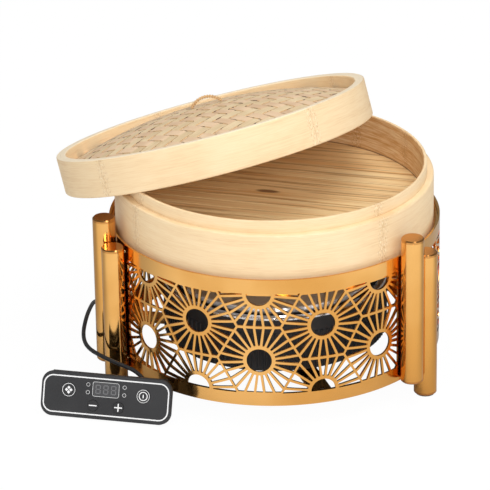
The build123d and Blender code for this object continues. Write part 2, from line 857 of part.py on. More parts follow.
with BuildPart() as lid_outer_hoop:
    add(disc(lid_plane.offset(-lid_height), lid_radius, lid_height, lid_radius - lid_wall))
    rims = lid_outer_hoop.edges().filter_by(GeomType.CIRCLE)
    fillet(rims.filter_by(lambda e: e.radius > lid_radius - 1), radius=lid_wall / 3)
    for i in range(peg_count):
        with BuildSketch(lid_facing(lid_radius - peg_skin, i * 360 / peg_count, lid_peg_level)):
            Circle(peg_radius)
        extrude(amount=-2 * lid_wall, mode=Mode.SUBTRACT)
export("lid_outer_hoop", lid_outer_hoop)

with BuildPart() as lid_inner_hoop:
    add(disc(lid_plane.offset(-mat_drop), lid_ring_outer, mat_drop, lid_ring_inner))
    rims = lid_inner_hoop.edges().filter_by(GeomType.CIRCLE)
    fillet(rims.filter_by(lambda e: e.radius < lid_ring_inner + 1).sort_by(lid_axis)[-1], radius=lid_wall / 3)
export("lid_inner_hoop", lid_inner_hoop)

with BuildPart() as lid_support_hoop:
    add(disc(lid_plane.offset(support_bottom), lid_ring_outer, support_top - support_bottom, lid_ring_inner))
    for i in range(peg_count):
        with BuildSketch(lid_facing(lid_radius, i * 360 / peg_count, lid_peg_level)):
            Circle(peg_radius)
        extrude(amount=-3 * lid_inner_wall, mode=Mode.SUBTRACT)
export("lid_support_hoop", lid_support_hoop)

with BuildPart() as lid_pegs:
    for i in range(peg_count):
        with BuildSketch(lid_facing(lid_ring_inner, i * 360 / peg_count, lid_peg_level)):
            Circle(peg_radius - peg_gap)
        extrude(amount=lid_radius - lid_ring_inner - peg_skin - peg_recess)
export("lid_pegs", lid_pegs)

mat_profile = dome_section(mat_edge, 0, mat_thickness)
with BuildPart() as lid_mat:
    revolve(mat_profile, axis=lid_axis)
    with BuildSketch(lid_plane.offset(support_top)):
        Circle(lid_ring_outer - hoop_gap)
        Circle(mat_edge - mat_lap, mode=Mode.SUBTRACT)
    extrude(amount=mat_thickness)
export("lid_mat", lid_mat)

rib_edge = mat_edge - mat_lap - hoop_gap
rib_profile = dome_section(rib_edge, mat_thickness + hoop_gap, mat_thickness + lid_rib_thickness)
with BuildPart() as lid_ribs:
    revolve(rib_profile, axis=lid_axis)
    with BuildSketch(lid_plane.offset(-lid_height)):
        with GridLocations(lid_rib_spread, 0, 2, 1):
            Rectangle(lid_rib_width, 2 * lid_radius)
        with GridLocations(0, lid_rib_spread, 1, 2):
            Rectangle(2 * lid_radius, lid_rib_width)
    extrude(amount=2 * lid_height, mode=Mode.INTERSECT)
export("lid_ribs", lid_ribs)

loop_side = lid_plane.x_dir.rotate(lid_axis, loop_turn) * (loop_span / 2)
loop_foot = lid_plane.origin + lid_plane.z_dir * (dome(loop_span / 2, 0) + loop_seat)
with BuildPart() as lid_loop:
    with BuildLine():
        loop_path = ThreePointArc(
            loop_foot - loop_side,
            loop_foot + lid_plane.z_dir * loop_rise,
            loop_foot + loop_side,
        )
    with BuildSketch(Plane(origin=loop_path @ 0, z_dir=loop_path % 0)):
        Circle(loop_radius)
    sweep()
export("lid_loop", lid_loop)

# Controller
tilt = radians(panel_lean)
yaw = radians(panel_turn)
along = Vector(cos(yaw), -sin(yaw), 0)
back = Vector(sin(yaw), cos(yaw), 0)
face_out = Vector(-sin(yaw) * cos(tilt), -cos(yaw) * cos(tilt), sin(tilt))
face_up = Vector(sin(yaw) * sin(tilt), cos(yaw) * sin(tilt), cos(tilt))
face_foot = Vector(*panel_foot, panel_thickness * sin(tilt))
panel_board_depth = front_wall + key_gap + key_flange_thickness + key_travel + board_clearance
face = Plane(origin=face_foot + face_up * (panel_height / 2), x_dir=along, z_dir=face_out)
rear_foot = face_foot - face_out * panel_thickness
case_plane = Plane(origin=rear_foot, x_dir=back, z_dir=along)
lens_places = [(x * lens_columns / 2, lens_middle + y * lens_rows / 2) for x in (-1, 1) for y in (-1, 1)]
keys = {
    "menu_key": (menu_place, round_key_radius),
    "power_key": (power_place, round_key_radius),
    "minus_key": (minus_place, small_key_radius),
    "plus_key": (plus_place, small_key_radius),
}
line_outer = (panel_width - 2 * line_margin_x, panel_height - 2 * line_margin_y)
line_inner = tuple(v - 2 * line_width for v in line_outer)

with BuildPart() as controller_front:
    with BuildSketch(face.offset(-panel_thickness)):
        RectangleRounded(panel_width, panel_height, panel_corner)
    extrude(amount=panel_thickness)
    chamfer(controller_front.faces().sort_by(Axis(face.origin, face_out))[-1].edges(), length=panel_chamfer)
    with BuildSketch(face.offset(-panel_thickness)):
        RectangleRounded(pocket_width, pocket_height, pocket_corner)
    extrude(amount=panel_thickness - front_wall, mode=Mode.SUBTRACT)
    with BuildSketch(face.offset(-front_wall)):
        with GridLocations(*panel_board_posts, 2, 2):
            Circle(panel_board_post)
    extrude(amount=front_wall - panel_board_depth)
    with BuildSketch(face.offset(-panel_board_depth)):
        with GridLocations(*panel_board_posts, 2, 2):
            Circle(board_screw_radius)
    extrude(amount=panel_board_depth - front_wall, mode=Mode.SUBTRACT)
    with BuildSketch(face):
        RectangleRounded(*line_outer, line_corner)
        RectangleRounded(*line_inner, line_corner - line_width, mode=Mode.SUBTRACT)
    extrude(amount=-line_depth, mode=Mode.SUBTRACT)
    with BuildSketch(face):
        for place, radius in keys.values():
            with Locations(place):
                Circle(radius + key_gap)
        with Locations(window_place):
            RectangleRounded(window_width + 2 * fixed_gap, window_height + 2 * fixed_gap, window_corner)
        with Locations(lens_places):
            Circle(lens_radius + fixed_gap)
    extrude(amount=-front_wall, mode=Mode.SUBTRACT)
    with BuildSketch(face.offset(-panel_thickness)):
        with GridLocations(2 * case_screw_x, 0, 2, 1):
            Circle(case_screw_radius)
    extrude(amount=case_screw_bite, mode=Mode.SUBTRACT)
export("controller_front", controller_front)

with BuildPart() as controller_line:
    with BuildSketch(face.offset(-line_depth)):
        RectangleRounded(line_outer[0] - fixed_gap, line_outer[1] - fixed_gap, line_corner - fixed_gap / 2)
        RectangleRounded(
            line_inner[0] + fixed_gap,
            line_inner[1] + fixed_gap,
            line_corner - line_width + fixed_gap / 2,
            mode=Mode.SUBTRACT,
        )
    extrude(amount=line_depth)
export("controller_line", controller_line)

key_base = -front_wall - key_gap - key_flange_thickness
for name, (place, radius) in keys.items():
    with BuildPart() as key:
        with BuildSketch(face.offset(key_base)):
            with Locations(place):
                Circle(radius + key_flange)
        extrude(amount=key_flange_thickness)
        with BuildSketch(face.offset(key_base)):
            with Locations(place):
                Circle(radius)
        extrude(amount=key_proud - key_base)
    export(name, key)

with BuildPart() as display_window:
    with BuildSketch(face.offset(-window_thickness)):
        with Locations(window_place):
            RectangleRounded(window_width, window_height, window_corner)
    extrude(amount=window_thickness)
export("display_window", display_window)

with BuildPart() as display_module:
    with BuildSketch(face.offset(-panel_board_depth)):
        with Locations(window_place):
            RectangleRounded(window_width - 2 * module_gap, window_height - 2 * module_gap, window_corner)
    extrude(amount=panel_board_depth - window_thickness - module_gap)
export("display_module", display_module)

with BuildPart() as indicator_lenses:
    with BuildSketch(face):
        with Locations(lens_places):
            Circle(lens_radius)
    extrude(amount=-lens_length)
export("indicator_lenses", indicator_lenses)

with BuildPart() as controller_board:
    with BuildSketch(face.offset(-panel_board_depth)):
        Rectangle(panel_board_length, panel_board_width)
        with GridLocations(*panel_board_posts, 2, 2):
            Circle(board_screw_radius + fixed_gap, mode=Mode.SUBTRACT)
    extrude(amount=-panel_board_sheet)
export("controller_board", controller_board)

case_low = case_edge
case_high = panel_height - case_edge
case_outline = [
    (case_low * sin(tilt), case_low * cos(tilt)),
    (case_high * sin(tilt), case_high * cos(tilt)),
    (case_high * sin(tilt) + case_top, case_high * cos(tilt)),
    (case_foot, 0),
    (case_toe, 0),
]
rear_slope = (case_foot - case_outline[2][0]) / case_outline[2][1]
exit_depth = case_foot - cable_exit_level * rear_slope
cable_exit = Vector(*cable_exit_direction).normalized()
cable_root = rear_foot + along * cable_exit_x + back * exit_depth + Vector(0, 0, cable_exit_level)
cable_start = cable_root + cable_exit * cable_bush_length
case_depth = panel_thickness + case_screw_depth

with BuildPart() as controller_case:
    with BuildSketch(case_plane):
        with BuildLine():
            Polyline(*case_outline, close=True)
        make_face()
    extrude(amount=case_width / 2, both=True)
    with BuildSketch(case_plane):
        with BuildLine():
            Polyline(*case_outline, close=True)
        make_face()
        offset(amount=-case_wall, kind=Kind.INTERSECTION)
    extrude(amount=pocket_width / 2, both=True, mode=Mode.SUBTRACT)
    with BuildSketch(face.offset(-panel_thickness)):
        Rectangle(pocket_width, panel_height - 2 * case_edge - 2 * case_wall)
    extrude(amount=-2 * case_wall, mode=Mode.SUBTRACT)
    with BuildSketch(face.offset(-panel_thickness)):
        with GridLocations(2 * case_screw_x, 0, 2, 1):
            Circle(case_screw_radius + fixed_gap)
    extrude(amount=-2 * case_foot, mode=Mode.SUBTRACT)
    with BuildSketch(face.offset(-case_depth)):
        with GridLocations(2 * case_screw_x, 0, 2, 1):
            Circle(case_screw_head + fixed_gap)
    extrude(amount=-2 * case_foot, mode=Mode.SUBTRACT)
    with BuildSketch(Plane(origin=cable_root, z_dir=cable_exit)):
        Circle(gland_root + gland_gap)
    extrude(amount=2 * cable_bush_inside, both=True, mode=Mode.SUBTRACT)
export("controller_case", controller_case)

board_rear = panel_board_depth + panel_board_sheet
with BuildPart() as controller_screws:
    with BuildSketch(face.offset(-case_depth)):
        with GridLocations(2 * case_screw_x, 0, 2, 1):
            Circle(case_screw_head)
    extrude(amount=-screw_head)
    with BuildSketch(face.offset(-case_depth - screw_head / 2)):
        with GridLocations(2 * case_screw_x, 0, 2, 1):
            Circle(case_screw_radius - shank_gap)
    extrude(amount=screw_head / 2 + case_screw_depth + case_screw_bite - fixed_gap)
    with BuildSketch(face.offset(-board_rear)):
        with GridLocations(*panel_board_posts, 2, 2):
            Circle(board_screw_head)
    extrude(amount=-board_screw_thickness)
    with BuildSketch(face.offset(-board_rear - board_screw_thickness / 2)):
        with GridLocations(*panel_board_posts, 2, 2):
            Circle(board_screw_radius - shank_gap)
    extrude(amount=board_screw_thickness / 2 + panel_board_sheet + (panel_board_depth - front_wall) / 2)
export("controller_screws", controller_screws)

cable_bush = tapered_bush(
    cable_root, cable_exit, cable_bush_inside, cable_bush_length, gland_root, gland_tip
)
export("cable_bush", cable_bush)

# Cable: straight runs joined by arcs, each radius set by the shorter of its two runs
route = [cable_start, cable_start + cable_exit * cable_first_run]
route += [Vector(*p) for p in cable_points]
route += [gland_end + gland_out * cable_last_run, gland_end]
bend_radii = []
for before, corner, after in zip(route, route[1:], route[2:]):
    inward = corner - before
    outward = after - corner
    half_turn = radians(inward.get_angle(outward)) / 2
    bend_radii.append(cable_bend * min(inward.length, outward.length) / tan(half_turn))
print("cable runs", [round((b - a).length, 1) for a, b in zip(route, route[1:])])
print("cable bend radii", [round(r, 1) for r in bend_radii])

with BuildPart() as control_cable:
    with BuildLine():
        cable_path = FilletPolyline(*route, radius=bend_radii)
    with BuildSketch(Plane(origin=cable_start, z_dir=cable_exit)):
        Circle(cable_radius)
    sweep()
cable_length = cable_path.length
print("cable length", round(cable_length, 1))
print("cable volume ratio", round(control_cable.part.volume / (pi * cable_radius**2 * cable_length), 4))
export("control_cable", control_cable)
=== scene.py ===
import bpy
import random
from math import atan2, cos, pi, radians, sin, sqrt
from mathutils import Matrix, Vector


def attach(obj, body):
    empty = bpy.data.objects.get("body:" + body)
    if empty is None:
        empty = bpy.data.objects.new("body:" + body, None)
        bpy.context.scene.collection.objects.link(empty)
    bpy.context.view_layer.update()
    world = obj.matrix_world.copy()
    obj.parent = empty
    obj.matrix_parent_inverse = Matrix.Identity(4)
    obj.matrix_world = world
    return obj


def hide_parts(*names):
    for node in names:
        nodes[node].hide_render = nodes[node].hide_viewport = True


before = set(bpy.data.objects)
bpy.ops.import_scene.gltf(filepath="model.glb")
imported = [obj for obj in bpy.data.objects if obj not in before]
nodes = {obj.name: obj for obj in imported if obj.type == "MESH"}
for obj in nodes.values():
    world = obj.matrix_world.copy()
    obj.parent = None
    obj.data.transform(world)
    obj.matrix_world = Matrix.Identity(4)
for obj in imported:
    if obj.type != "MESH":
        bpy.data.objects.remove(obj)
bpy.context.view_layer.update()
mm = 0.001
print("frame loaded,", len(nodes), "nodes")


def newObject(name, data):
    item = bpy.data.objects.new(name, data)
    bpy.context.collection.objects.link(item)
    return item


# Camera: fitted to the stand in the photograph
camera = {
    "distance": 3557.33,
    "rise": 25.62,
    "pan": 0.47,
    "tilt": 1.39,
    "roll": 0.70,
    "lens": 265.93,
    "sensor": 36,
    "target": 20.0,
    "reach": 100,
}


def makeCamera(c):
    rise = radians(c["rise"])
    place = Vector((0, -c["distance"] * cos(rise), c["distance"] * sin(rise)))
    ahead = -place.normalized()
    right = Vector((1, 0, 0))
    up = right.cross(ahead)
    pan = Matrix.Rotation(radians(c["pan"]), 3, up)
    ahead, right = pan @ ahead, pan @ right
    tilt = Matrix.Rotation(radians(c["tilt"]), 3, right)
    ahead, up = tilt @ ahead, tilt @ up
    roll = Matrix.Rotation(radians(c["roll"]), 3, ahead)
    right, up = roll @ right, roll @ up
    data = bpy.data.cameras.new("camera")
    data.lens = c["lens"]
    data.sensor_width = c["sensor"]
    data.clip_end = c["reach"]
    eye = newObject("camera", data)
    turn = Matrix((right, up, -ahead)).transposed().to_4x4()
    eye.matrix_world = Matrix.Translation((place + Vector((0, 0, c["target"]))) * mm) @ turn
    bpy.context.scene.camera = eye


makeCamera(camera)


# Shader sockets that can be added, multiplied and fed to other nodes
class Wire:
    def __init__(self, tree, socket=None):
        self.tree = tree
        self.socket = socket

    def make(self, kind, settings=None, inputs=None, output=0):
        node = self.tree.nodes.new("ShaderNode" + kind)
        for key, value in (settings or {}).items():
            if key == "stops":
                ramp = node.color_ramp
                while len(ramp.elements) < len(value):
                    ramp.elements.new(0.5)
                for element, (position, colour) in zip(ramp.elements, value):
                    element.position = position
                    element.color = (*colour, 1)
            else:
                setattr(node, key, value)
        for key, value in (inputs or {}).items():
            if isinstance(value, Wire):
                self.tree.links.new(value.socket, node.inputs[key])
            else:
                node.inputs[key].default_value = value
        return Wire(self.tree, node.outputs[output])

    def math(self, operation, *values):
        return self.make("Math", {"operation": operation}, dict(enumerate(values)))

    def __add__(self, other):
        return self.math("ADD", self, other)

    def __sub__(self, other):
        return self.math("SUBTRACT", self, other)

    def __mul__(self, other):
        return self.math("MULTIPLY", self, other)

    def scaled(self, *factors):
        return self.make("VectorMath", {"operation": "MULTIPLY"}, {0: self, 1: factors})

    def noise(self, scale=1.0, detail=2.0, roughness=0.5):
        sizes = {"Vector": self, "Scale": scale, "Detail": detail, "Roughness": roughness}
        return self.make("TexNoise", {}, sizes)

    def grain(self, stretch, detail=2, roughness=0.5):
        return self.scaled(*stretch).noise(1, detail, roughness)

    def moved(self, own, reach):  # each board or strip gets its own stretch of the grain
        shift = self.make("CombineXYZ", {}, {0: own * reach[0], 1: own * reach[1], 2: 0.0})
        return self.make("VectorMath", {"operation": "ADD"}, {0: self, 1: shift})

    def step(self, low, high):
        ends = {"Value": self, "From Min": low, "From Max": high}
        return self.make("MapRange", {"interpolation_type": "SMOOTHSTEP"}, ends)

    def between(self, low, high):
        return self.make("MapRange", {}, {"Value": self, "To Min": low, "To Max": high})

    def blend(self, first, second):  # this value picks from the first colour to the second
        return self.mix("MIX", asColour(first), asColour(second))

    def mix(self, kind, first, second):  # a colour mix: factor 0, colours 6 and 7, result 2
        rule = {"data_type": "RGBA", "blend_type": kind}
        return self.make("Mix", rule, {0: self, 6: first, 7: second}, output=2)

    def bump(self, strength, distance):
        return self.make("Bump", {}, {"Height": self, "Strength": strength, "Distance": distance})

    def place(self):
        return self.make("TexCoord", output="Object")

    def part(self, index):
        return self.make("SeparateXYZ", {}, {0: self}, index)

    def radius(self):  # distance from the Z axis
        rule = {"operation": "LENGTH"}
        return self.make("VectorMath", rule, {0: self.scaled(1, 1, 0)}, output="Value")


def asColour(value):
    return value if isinstance(value, Wire) else (*value, 1)


def addTones(layers, rules):  # least value, most value and share of each layer
    total = None
    for name, (low, high, share) in rules.items():
        tone = layers[name].step(low, high) * share
        total = tone if total is None else total + tone
    return total


materials = {}


def makeMaterial(name, build, **fixed):
    material = materials[name] = bpy.data.materials.new(name)
    material.use_nodes = True
    tree = material.node_tree
    surface = tree.nodes["Principled BSDF"]
    for key, value in fixed.items():
        surface.inputs[key].default_value = value
    for key, value in build(Wire(tree)).items():
        tree.links.new(value.socket, surface.inputs[key])


# Gold coating on steel
gold = {
    "light": (0.91, 0.51, 0.165),
    "deep": (0.74, 0.365, 0.09),
    # the caps get a darker copy of the gold: painted shade standing for the dark reflections on them
    "capPaintedShadeLight": (0.66, 0.32, 0.095),
    "capPaintedShadeDeep": (0.56, 0.25, 0.07),
    "smooth": 0.10,
    "smeared": 0.22,
    "cloud": {"scale": 9, "detail": 3},
    "cloudRange": (0.35, 0.65),
    "smear": {"scale": 40, "detail": 4},
    "smearStretch": (1, 1, 0.25),
    "smearRange": (0.35, 0.75),
    "fine": {"scale": 1800, "detail": 2},
    "relief": {"strength": 0.04, "distance": 0.00005},
}


def goldLook(light, deep):
    def look(w):
        cloud = w.place().noise(**gold["cloud"])
        smear = w.place().scaled(*gold["smearStretch"]).noise(**gold["smear"])
        fine = w.place().noise(**gold["fine"])
        return {
            "Base Color": cloud.step(*gold["cloudRange"]).blend(light, deep),
            "Roughness": smear.step(*gold["smearRange"]).between(gold["smooth"], gold["smeared"]),
            "Normal": fine.bump(**gold["relief"]),
        }
    return look


makeMaterial("goldMetal", goldLook(gold["light"], gold["deep"]), Metallic=1.0)
# darker gold for the post caps, painted shade for their dark reflections
makeMaterial("capGoldPaintedShade", goldLook(gold["capPaintedShadeLight"], gold["capPaintedShadeDeep"]), Metallic=1.0)

# Bamboo: fibres run round each hoop, with node bands of small upright flecks across them
bamboo = {
    "light": (0.93, 0.735, 0.475),
    "middle": (0.88, 0.655, 0.385),
    "dark": (0.76, 0.51, 0.27),
    "contrast": 0.9,
    "roughness": (0.44, 0.64),
    "relief": {"strength": 0.30, "distance": 0.0003},
    "reliefShares": {"fibres": 0.4, "flecks": 0.7, "threads": 0.2},
    # Grain: stretch round the hoop, up it and through it, then detail and roughness
    "fibres": ((1.8, 1900, 1), 4, 0.65),
    "threads": ((9, 700, 1), 2),
    "bands": ((1.2, 170, 1), 2),
    "cloud": {"scale": 22, "detail": 3},
    "tones": {
        "fibres": (0.32, 0.68, 0.36),
        "threads": (0.38, 0.62, 0.22),
        "bands": (0.3, 0.7, 0.24),
        "cloud": (0.35, 0.7, 0.20),
    },
    # Node bands: their bearings, how they waver, and the flecks in them
    "basketNodes": (-1.02, 0.72, 2.04, 2.53, -2.2),
    "lidNodes": (-1.50, -0.05, 1.4, 2.8),
    "waver": ((30, 160, 1), 3),
    "waverReach": 0.045,
    "beltEdge": (0.050, 0.028),
    "lineEdge": (0.006, 0.002),
    "lineShare": 0.3,
    "fleck": (0.55, 0.32, 0.13),
    "flecks": ((200, 330, 1), 2, 0.7),
    "fleckRange": (0.53, 0.62),
    "fleckShare": 0.62,
    "pale": (0.98, 0.85, 0.64),
    "shine": ((170, 300, 1), 1),
    "shineRange": (0.44, 0.34),
    "shineShare": 0.7,
    # The lid's top edge, coloured pale as a painted highlight
    "rim": (0.95, 0.80, 0.58),
    "paintedHighlightDepth": (-0.0006, -0.0003),
    # The inside of the basket, darker and warmer in mottled patches, and painted shade in a dark band
    # where the wall meets the floor
    "inner": (0.74, 0.55, 0.36),
    "innerRadius": 0.1449,
    "innerSoft": 0.0006,
    "darkLayers": {"threads": (0.35, 0.65, 0.55), "bands": (0.38, 0.62, 0.4)},
    "darkFlecks": 0.8,
    "leastDark": 0.05,
    "paintedCornerShade": (0.22, 0.10, 0.04),
    "floorTop": 0.1665,
    "cornerShadeReach": (0.0016, 0.0006),
    "cornerShadeShare": 0.8,
}


def hoopLook(nodeTurns, place=None, warm=None):
    b = bamboo

    def look(w):
        spot = w.place()
        if place is not None:
            frameAt = {"Vector": spot, "Location": place.translation, "Rotation": place.to_euler()}
            spot = w.make("Mapping", {"vector_type": "TEXTURE"}, frameAt)
        turn = w.math("ARCTAN2", spot.part(0), spot.part(1) * -1)
        along = w.make("CombineXYZ", {}, {0: turn, 1: spot.part(2), 2: 0.0})
        layers = {name: along.grain(*b[name]) for name in ("fibres", "threads", "bands")}
        layers["cloud"] = spot.noise(**b["cloud"])
        waver = (along.grain(*b["waver"]) - 0.5) * b["waverReach"]
        gaps = [w.math("ABSOLUTE", turn - nodeTurn + waver) for nodeTurn in nodeTurns]
        near = gaps[0]
        for gap in gaps[1:]:
            near = w.math("MINIMUM", near, gap)
        belt = near.step(*b["beltEdge"])
        line = near.step(*b["lineEdge"])
        flecks = belt * along.grain(*b["flecks"]).step(*b["fleckRange"])
        shine = belt * along.grain(*b["shine"]).step(*b["shineRange"])
        stops = [(0.0, b["light"]), (0.5, b["middle"]), (1.0, b["dark"])]
        tone = addTones(layers, b["tones"]) * b["contrast"]
        colour = w.make("ValToRGB", {"stops": stops}, {0: tone})
        colour = (shine * b["shineShare"]).blend(colour, b["pale"])
        mark = w.math("MAXIMUM", flecks * b["fleckShare"], line * b["lineShare"])
        colour = mark.blend(colour, b["fleck"])
        if place is not None:
            # painted highlight: the top edge of the lid hoop is coloured pale
            colour = spot.part(2).step(*b["paintedHighlightDepth"]).blend(colour, b["rim"])
        if warm is not None:
            # inside faces are made darker and warmer in mottled patches
            reach = spot.radius().step(b["innerRadius"] + b["innerSoft"], b["innerRadius"])
            darkening = addTones(layers, b["darkLayers"]) + flecks * b["darkFlecks"] + b["leastDark"]
            colour = (reach * darkening).mix("MULTIPLY", colour, asColour(warm))
            # painted shade: a dark band at the foot of the inside wall, where it meets the floor
            foot = spot.part(2).step(*(b["floorTop"] + rise for rise in b["cornerShadeReach"]))
            colour = (reach * foot * b["cornerShadeShare"]).blend(colour, b["paintedCornerShade"])
        shares = b["reliefShares"]
        relief = layers["fibres"] * shares["fibres"] + flecks * shares["flecks"]
        relief = relief + layers["threads"] * shares["threads"]
        return {
            "Base Color": colour,
            "Roughness": layers["fibres"].between(*b["roughness"]),
            "Normal": relief.bump(**b["relief"]),
        }
    return look


makeMaterial("basketBamboo", hoopLook(bamboo["basketNodes"], warm=bamboo["inner"]))

# Lid frame: the middle of its top edge and its lean, as in the solids
lid = {
    "radius": 155.0,
    "wall": 4.4,
    "innerWall": 5.2,
    "height": 36.9,
    "lean": 19.9,
    "direction": 134.0,
    "shift": 76.4,
    "neck": 147.5,
    "rim": 204.5,
    "gap": 0.3,
    "rise": 24.0,
    "drop": 12.8,
    "mat": 2.4,
    "hoopGap": 0.1,
}


def lidFrame(p):
    lean, turn = radians(p["lean"]), radians(p["direction"])
    hook = p["radius"] - p["wall"]
    square = -((hook * sin(lean)) ** 2)
    single = -2 * p["shift"] * hook * cos(lean)
    fixed = hook**2 + p["shift"] ** 2 - p["neck"] ** 2
    crossing = (-single - sqrt(single**2 - 4 * square * fixed)) / (2 * square)
    up = Vector((sin(lean) * cos(turn), sin(lean) * sin(turn), cos(lean)))
    level = p["rim"] + p["gap"] - hook * crossing * sin(lean)
    foot = Vector((p["shift"] * cos(turn), p["shift"] * sin(turn), level))
    side = Vector((sin(turn), -cos(turn), 0))
    turnMatrix = Matrix((side, up.cross(side), up)).transposed().to_4x4()
    return Matrix.Translation((foot + up * p["height"]) * mm) @ turnMatrix


lidPlace = lidFrame(lid)
makeMaterial("lidBamboo", hoopLook(bamboo["lidNodes"], lidPlace))

# Floor slats: each board has its own tone, with fibres along it, brown streaks, one dark knot, and
# painted shade in the gaps between boards
slats = {
    "pitch": 14.4,
    "turn": -15.0,
    "gap": 1.6,
    "gapCore": 0.6,  # the share of the gap that is painted fully dark as shade
    "light": (1.0, 0.80, 0.45),
    "dark": (0.79, 0.47, 0.19),
    "roughness": (0.42, 0.62),
    "relief": {"strength": 0.4, "distance": 0.0004},
    "streakRelief": 0.3,
    "ownReach": (3, 5),
    "bend": ((9, 40, 40), 2),
    "bendReach": 0.006,
    "fibres": ((5, 620, 620), 4, 0.65),
    "broad": ((6, 150, 150), 3),
    "tones": {"fibres": (0.34, 0.66, 0.40), "broad": (0.38, 0.62, 0.42)},
    "ownShare": 0.20,
    "haloShare": 0.25,
    "streak": (0.36, 0.165, 0.05),
    "streaks": ((7, 260, 260), 2, 0.6),
    "streakRange": (0.54, 0.64),
    "streakShare": 0.58,
    "gapShadeRange": (0.2, 0.9),
    "gapShadeShare": 0.45,
    "knot": (0.13, 0.045, 0.015),
    "knotPlace": (-8.6, 9.6),
    "knotSize": (13.0, 4.2),
    "knotEdge": (1.15, 0.55),
    "haloEdge": (3.2, 0.9),
    "knotShare": 0.85,
}


def slatLook(w):
    s = slats
    rule = {"Vector": w.place(), "Rotation": (0, 0, radians(s["turn"]))}
    spot = w.make("Mapping", {"vector_type": "TEXTURE"}, rule)
    count = spot.part(1) * (1 / (s["pitch"] * mm)) + 0.5
    row = w.math("FLOOR", count)
    middle = w.math("ABSOLUTE", count - row - 0.5)
    own = w.make("TexWhiteNoise", {"noise_dimensions": "1D"}, {"W": row})
    along = spot.moved(own, s["ownReach"])
    bend = (along.grain(*s["bend"]) - 0.5) * s["bendReach"]
    lines = w.make("CombineXYZ", {}, {0: along.part(0), 1: along.part(1) + bend, 2: along.part(2)})
    layers = {name: lines.grain(*s[name]) for name in ("fibres", "broad")}
    streaks = lines.grain(*s["streaks"]).step(*s["streakRange"])
    gap = s["gap"] / s["pitch"]
    seam = middle.step(0.5 - gap, 0.5 - s["gapCore"] * gap)
    (x0, y0), (wide, high) = s["knotPlace"], s["knotSize"]
    across = (spot.part(0) - x0 * mm) * (1 / (wide * mm))
    upright = (spot.part(1) + bend - y0 * mm) * (1 / (high * mm))
    near = w.math("SQRT", across * across + upright * upright)
    tone = addTones(layers, s["tones"]) + own * s["ownShare"]
    tone = tone + near.step(*s["haloEdge"]) * s["haloShare"]
    wood = tone.blend(s["light"], s["dark"])
    # painted shade: the gaps between boards and the board edges beside them are darkened, on some
    # boards more than others
    shade = seam * own.step(*s["gapShadeRange"]) * s["gapShadeShare"]
    colour = w.math("MAXIMUM", streaks * s["streakShare"], shade).blend(wood, s["streak"])
    colour = (near.step(*s["knotEdge"]) * s["knotShare"]).blend(colour, s["knot"])
    return {
        "Base Color": colour,
        "Roughness": layers["fibres"].between(*s["roughness"]),
        "Normal": (layers["fibres"] + streaks * s["streakRelief"]).bump(**s["relief"]),
    }


makeMaterial("slatBamboo", slatLook)


# Woven strips and cane read the strip's own length and width from its UV map
strips = {
    "light": [(0.90, 0.715, 0.45), (0.93, 0.69, 0.455)],  # strips along X, strips along Y
    "dark": [(0.68, 0.49, 0.27), (0.69, 0.455, 0.27)],
    "familyEdge": (0.499, 0.501),
    "edge": (0.64, 0.43, 0.22),
    "rimEdge": (0.030, 0.040),
    "roughness": (0.38, 0.60),
    "relief": {"strength": 0.3, "distance": 0.0002},
    "ownReach": (2, 7),
    "fibres": ((14, 900, 1), 3, 0.6),
    "patches": ((28, 30, 1), 2),
    "tones": {"fibres": (0.3, 0.7, 0.40), "patches": (0.35, 0.65, 0.45)},
    "ownShare": 0.15,
    "sideDark": (0.11, 0.045, 0.025),
    "sideDashes": ((75, 0, 1), 2, 0.6),
    "sideDashRange": (0.50, 0.60),
}


def stripLook(w):
    s = strips
    spot = w.make("UVMap", {"uv_map": "along"})
    own = w.make("Attribute", {"attribute_name": "strip"}, output="Fac")
    along = spot.moved(own, s["ownReach"])
    layers = {name: along.grain(*s[name]) for name in ("fibres", "patches")}
    tone = addTones(layers, s["tones"]) + own * s["ownShare"]
    first, second = (tone.blend(light, dark) for light, dark in zip(s["light"], s["dark"]))
    top = own.step(*s["familyEdge"]).blend(first, second)
    # the strip sides are coloured tan, with dark dashes along them
    side = along.grain(*s["sideDashes"]).step(*s["sideDashRange"]).blend(s["edge"], s["sideDark"])
    return {
        "Base Color": spot.part(1).step(*s["rimEdge"]).blend(top, side),
        "Roughness": layers["fibres"].between(*s["roughness"]),
        "Normal": layers["fibres"].bump(**s["relief"]),
    }


makeMaterial("stripBamboo", stripLook)

cane = {
    "light": (0.80, 0.56, 0.30),
    "dark": (0.50, 0.28, 0.12),
    "fibres": ((30, 900, 1), 3, 0.7),
    "fibreRange": (0.3, 0.7),
    "roughness": (0.4, 0.6),
    "relief": {"strength": 0.4, "distance": 0.0003},
}


def caneLook(w):
    fibres = w.make("UVMap", {"uv_map": "along"}).grain(*cane["fibres"])
    return {
        "Base Color": fibres.step(*cane["fibreRange"]).blend(cane["light"], cane["dark"]),
        "Roughness": fibres.between(*cane["roughness"]),
        "Normal": fibres.bump(**cane["relief"]),
    }


makeMaterial("cane", caneLook)

# Plastics, rubber, glass and plain metals
plain = {
    "cloud": {"scale": 25, "detail": 3},
    "cloudRange": (0.3, 0.75),
    "grainDetail": 2,
    "grainStrength": 0.2,
    "lineStretch": 1500,
    "lineDetail": 2,
    "lineRelief": {"strength": 0.05, "distance": 0.00005},
}


def mouldedLook(colour, worn, low, high, grain, depth):
    def look(w):
        fine = w.place().noise(grain, plain["grainDetail"])
        cloud = w.place().noise(**plain["cloud"])
        return {
            "Base Color": cloud.step(*plain["cloudRange"]).blend(colour, worn),
            "Roughness": cloud.between(low, high),
            "Normal": fine.bump(plain["grainStrength"], depth),
        }
    return look


def brushedLook(colour, worn, low, high):
    def look(w):
        spot = w.place()
        ends = {0: spot.radius(), 1: spot.part(2), 2: 0.0}
        stretch = (plain["lineStretch"], plain["lineStretch"], 1)
        lines = w.make("CombineXYZ", {}, ends).grain(stretch, plain["lineDetail"])
        return {
            "Base Color": lines.blend(colour, worn),
            "Roughness": lines.between(low, high),
            "Normal": lines.bump(**plain["lineRelief"]),
        }
    return look


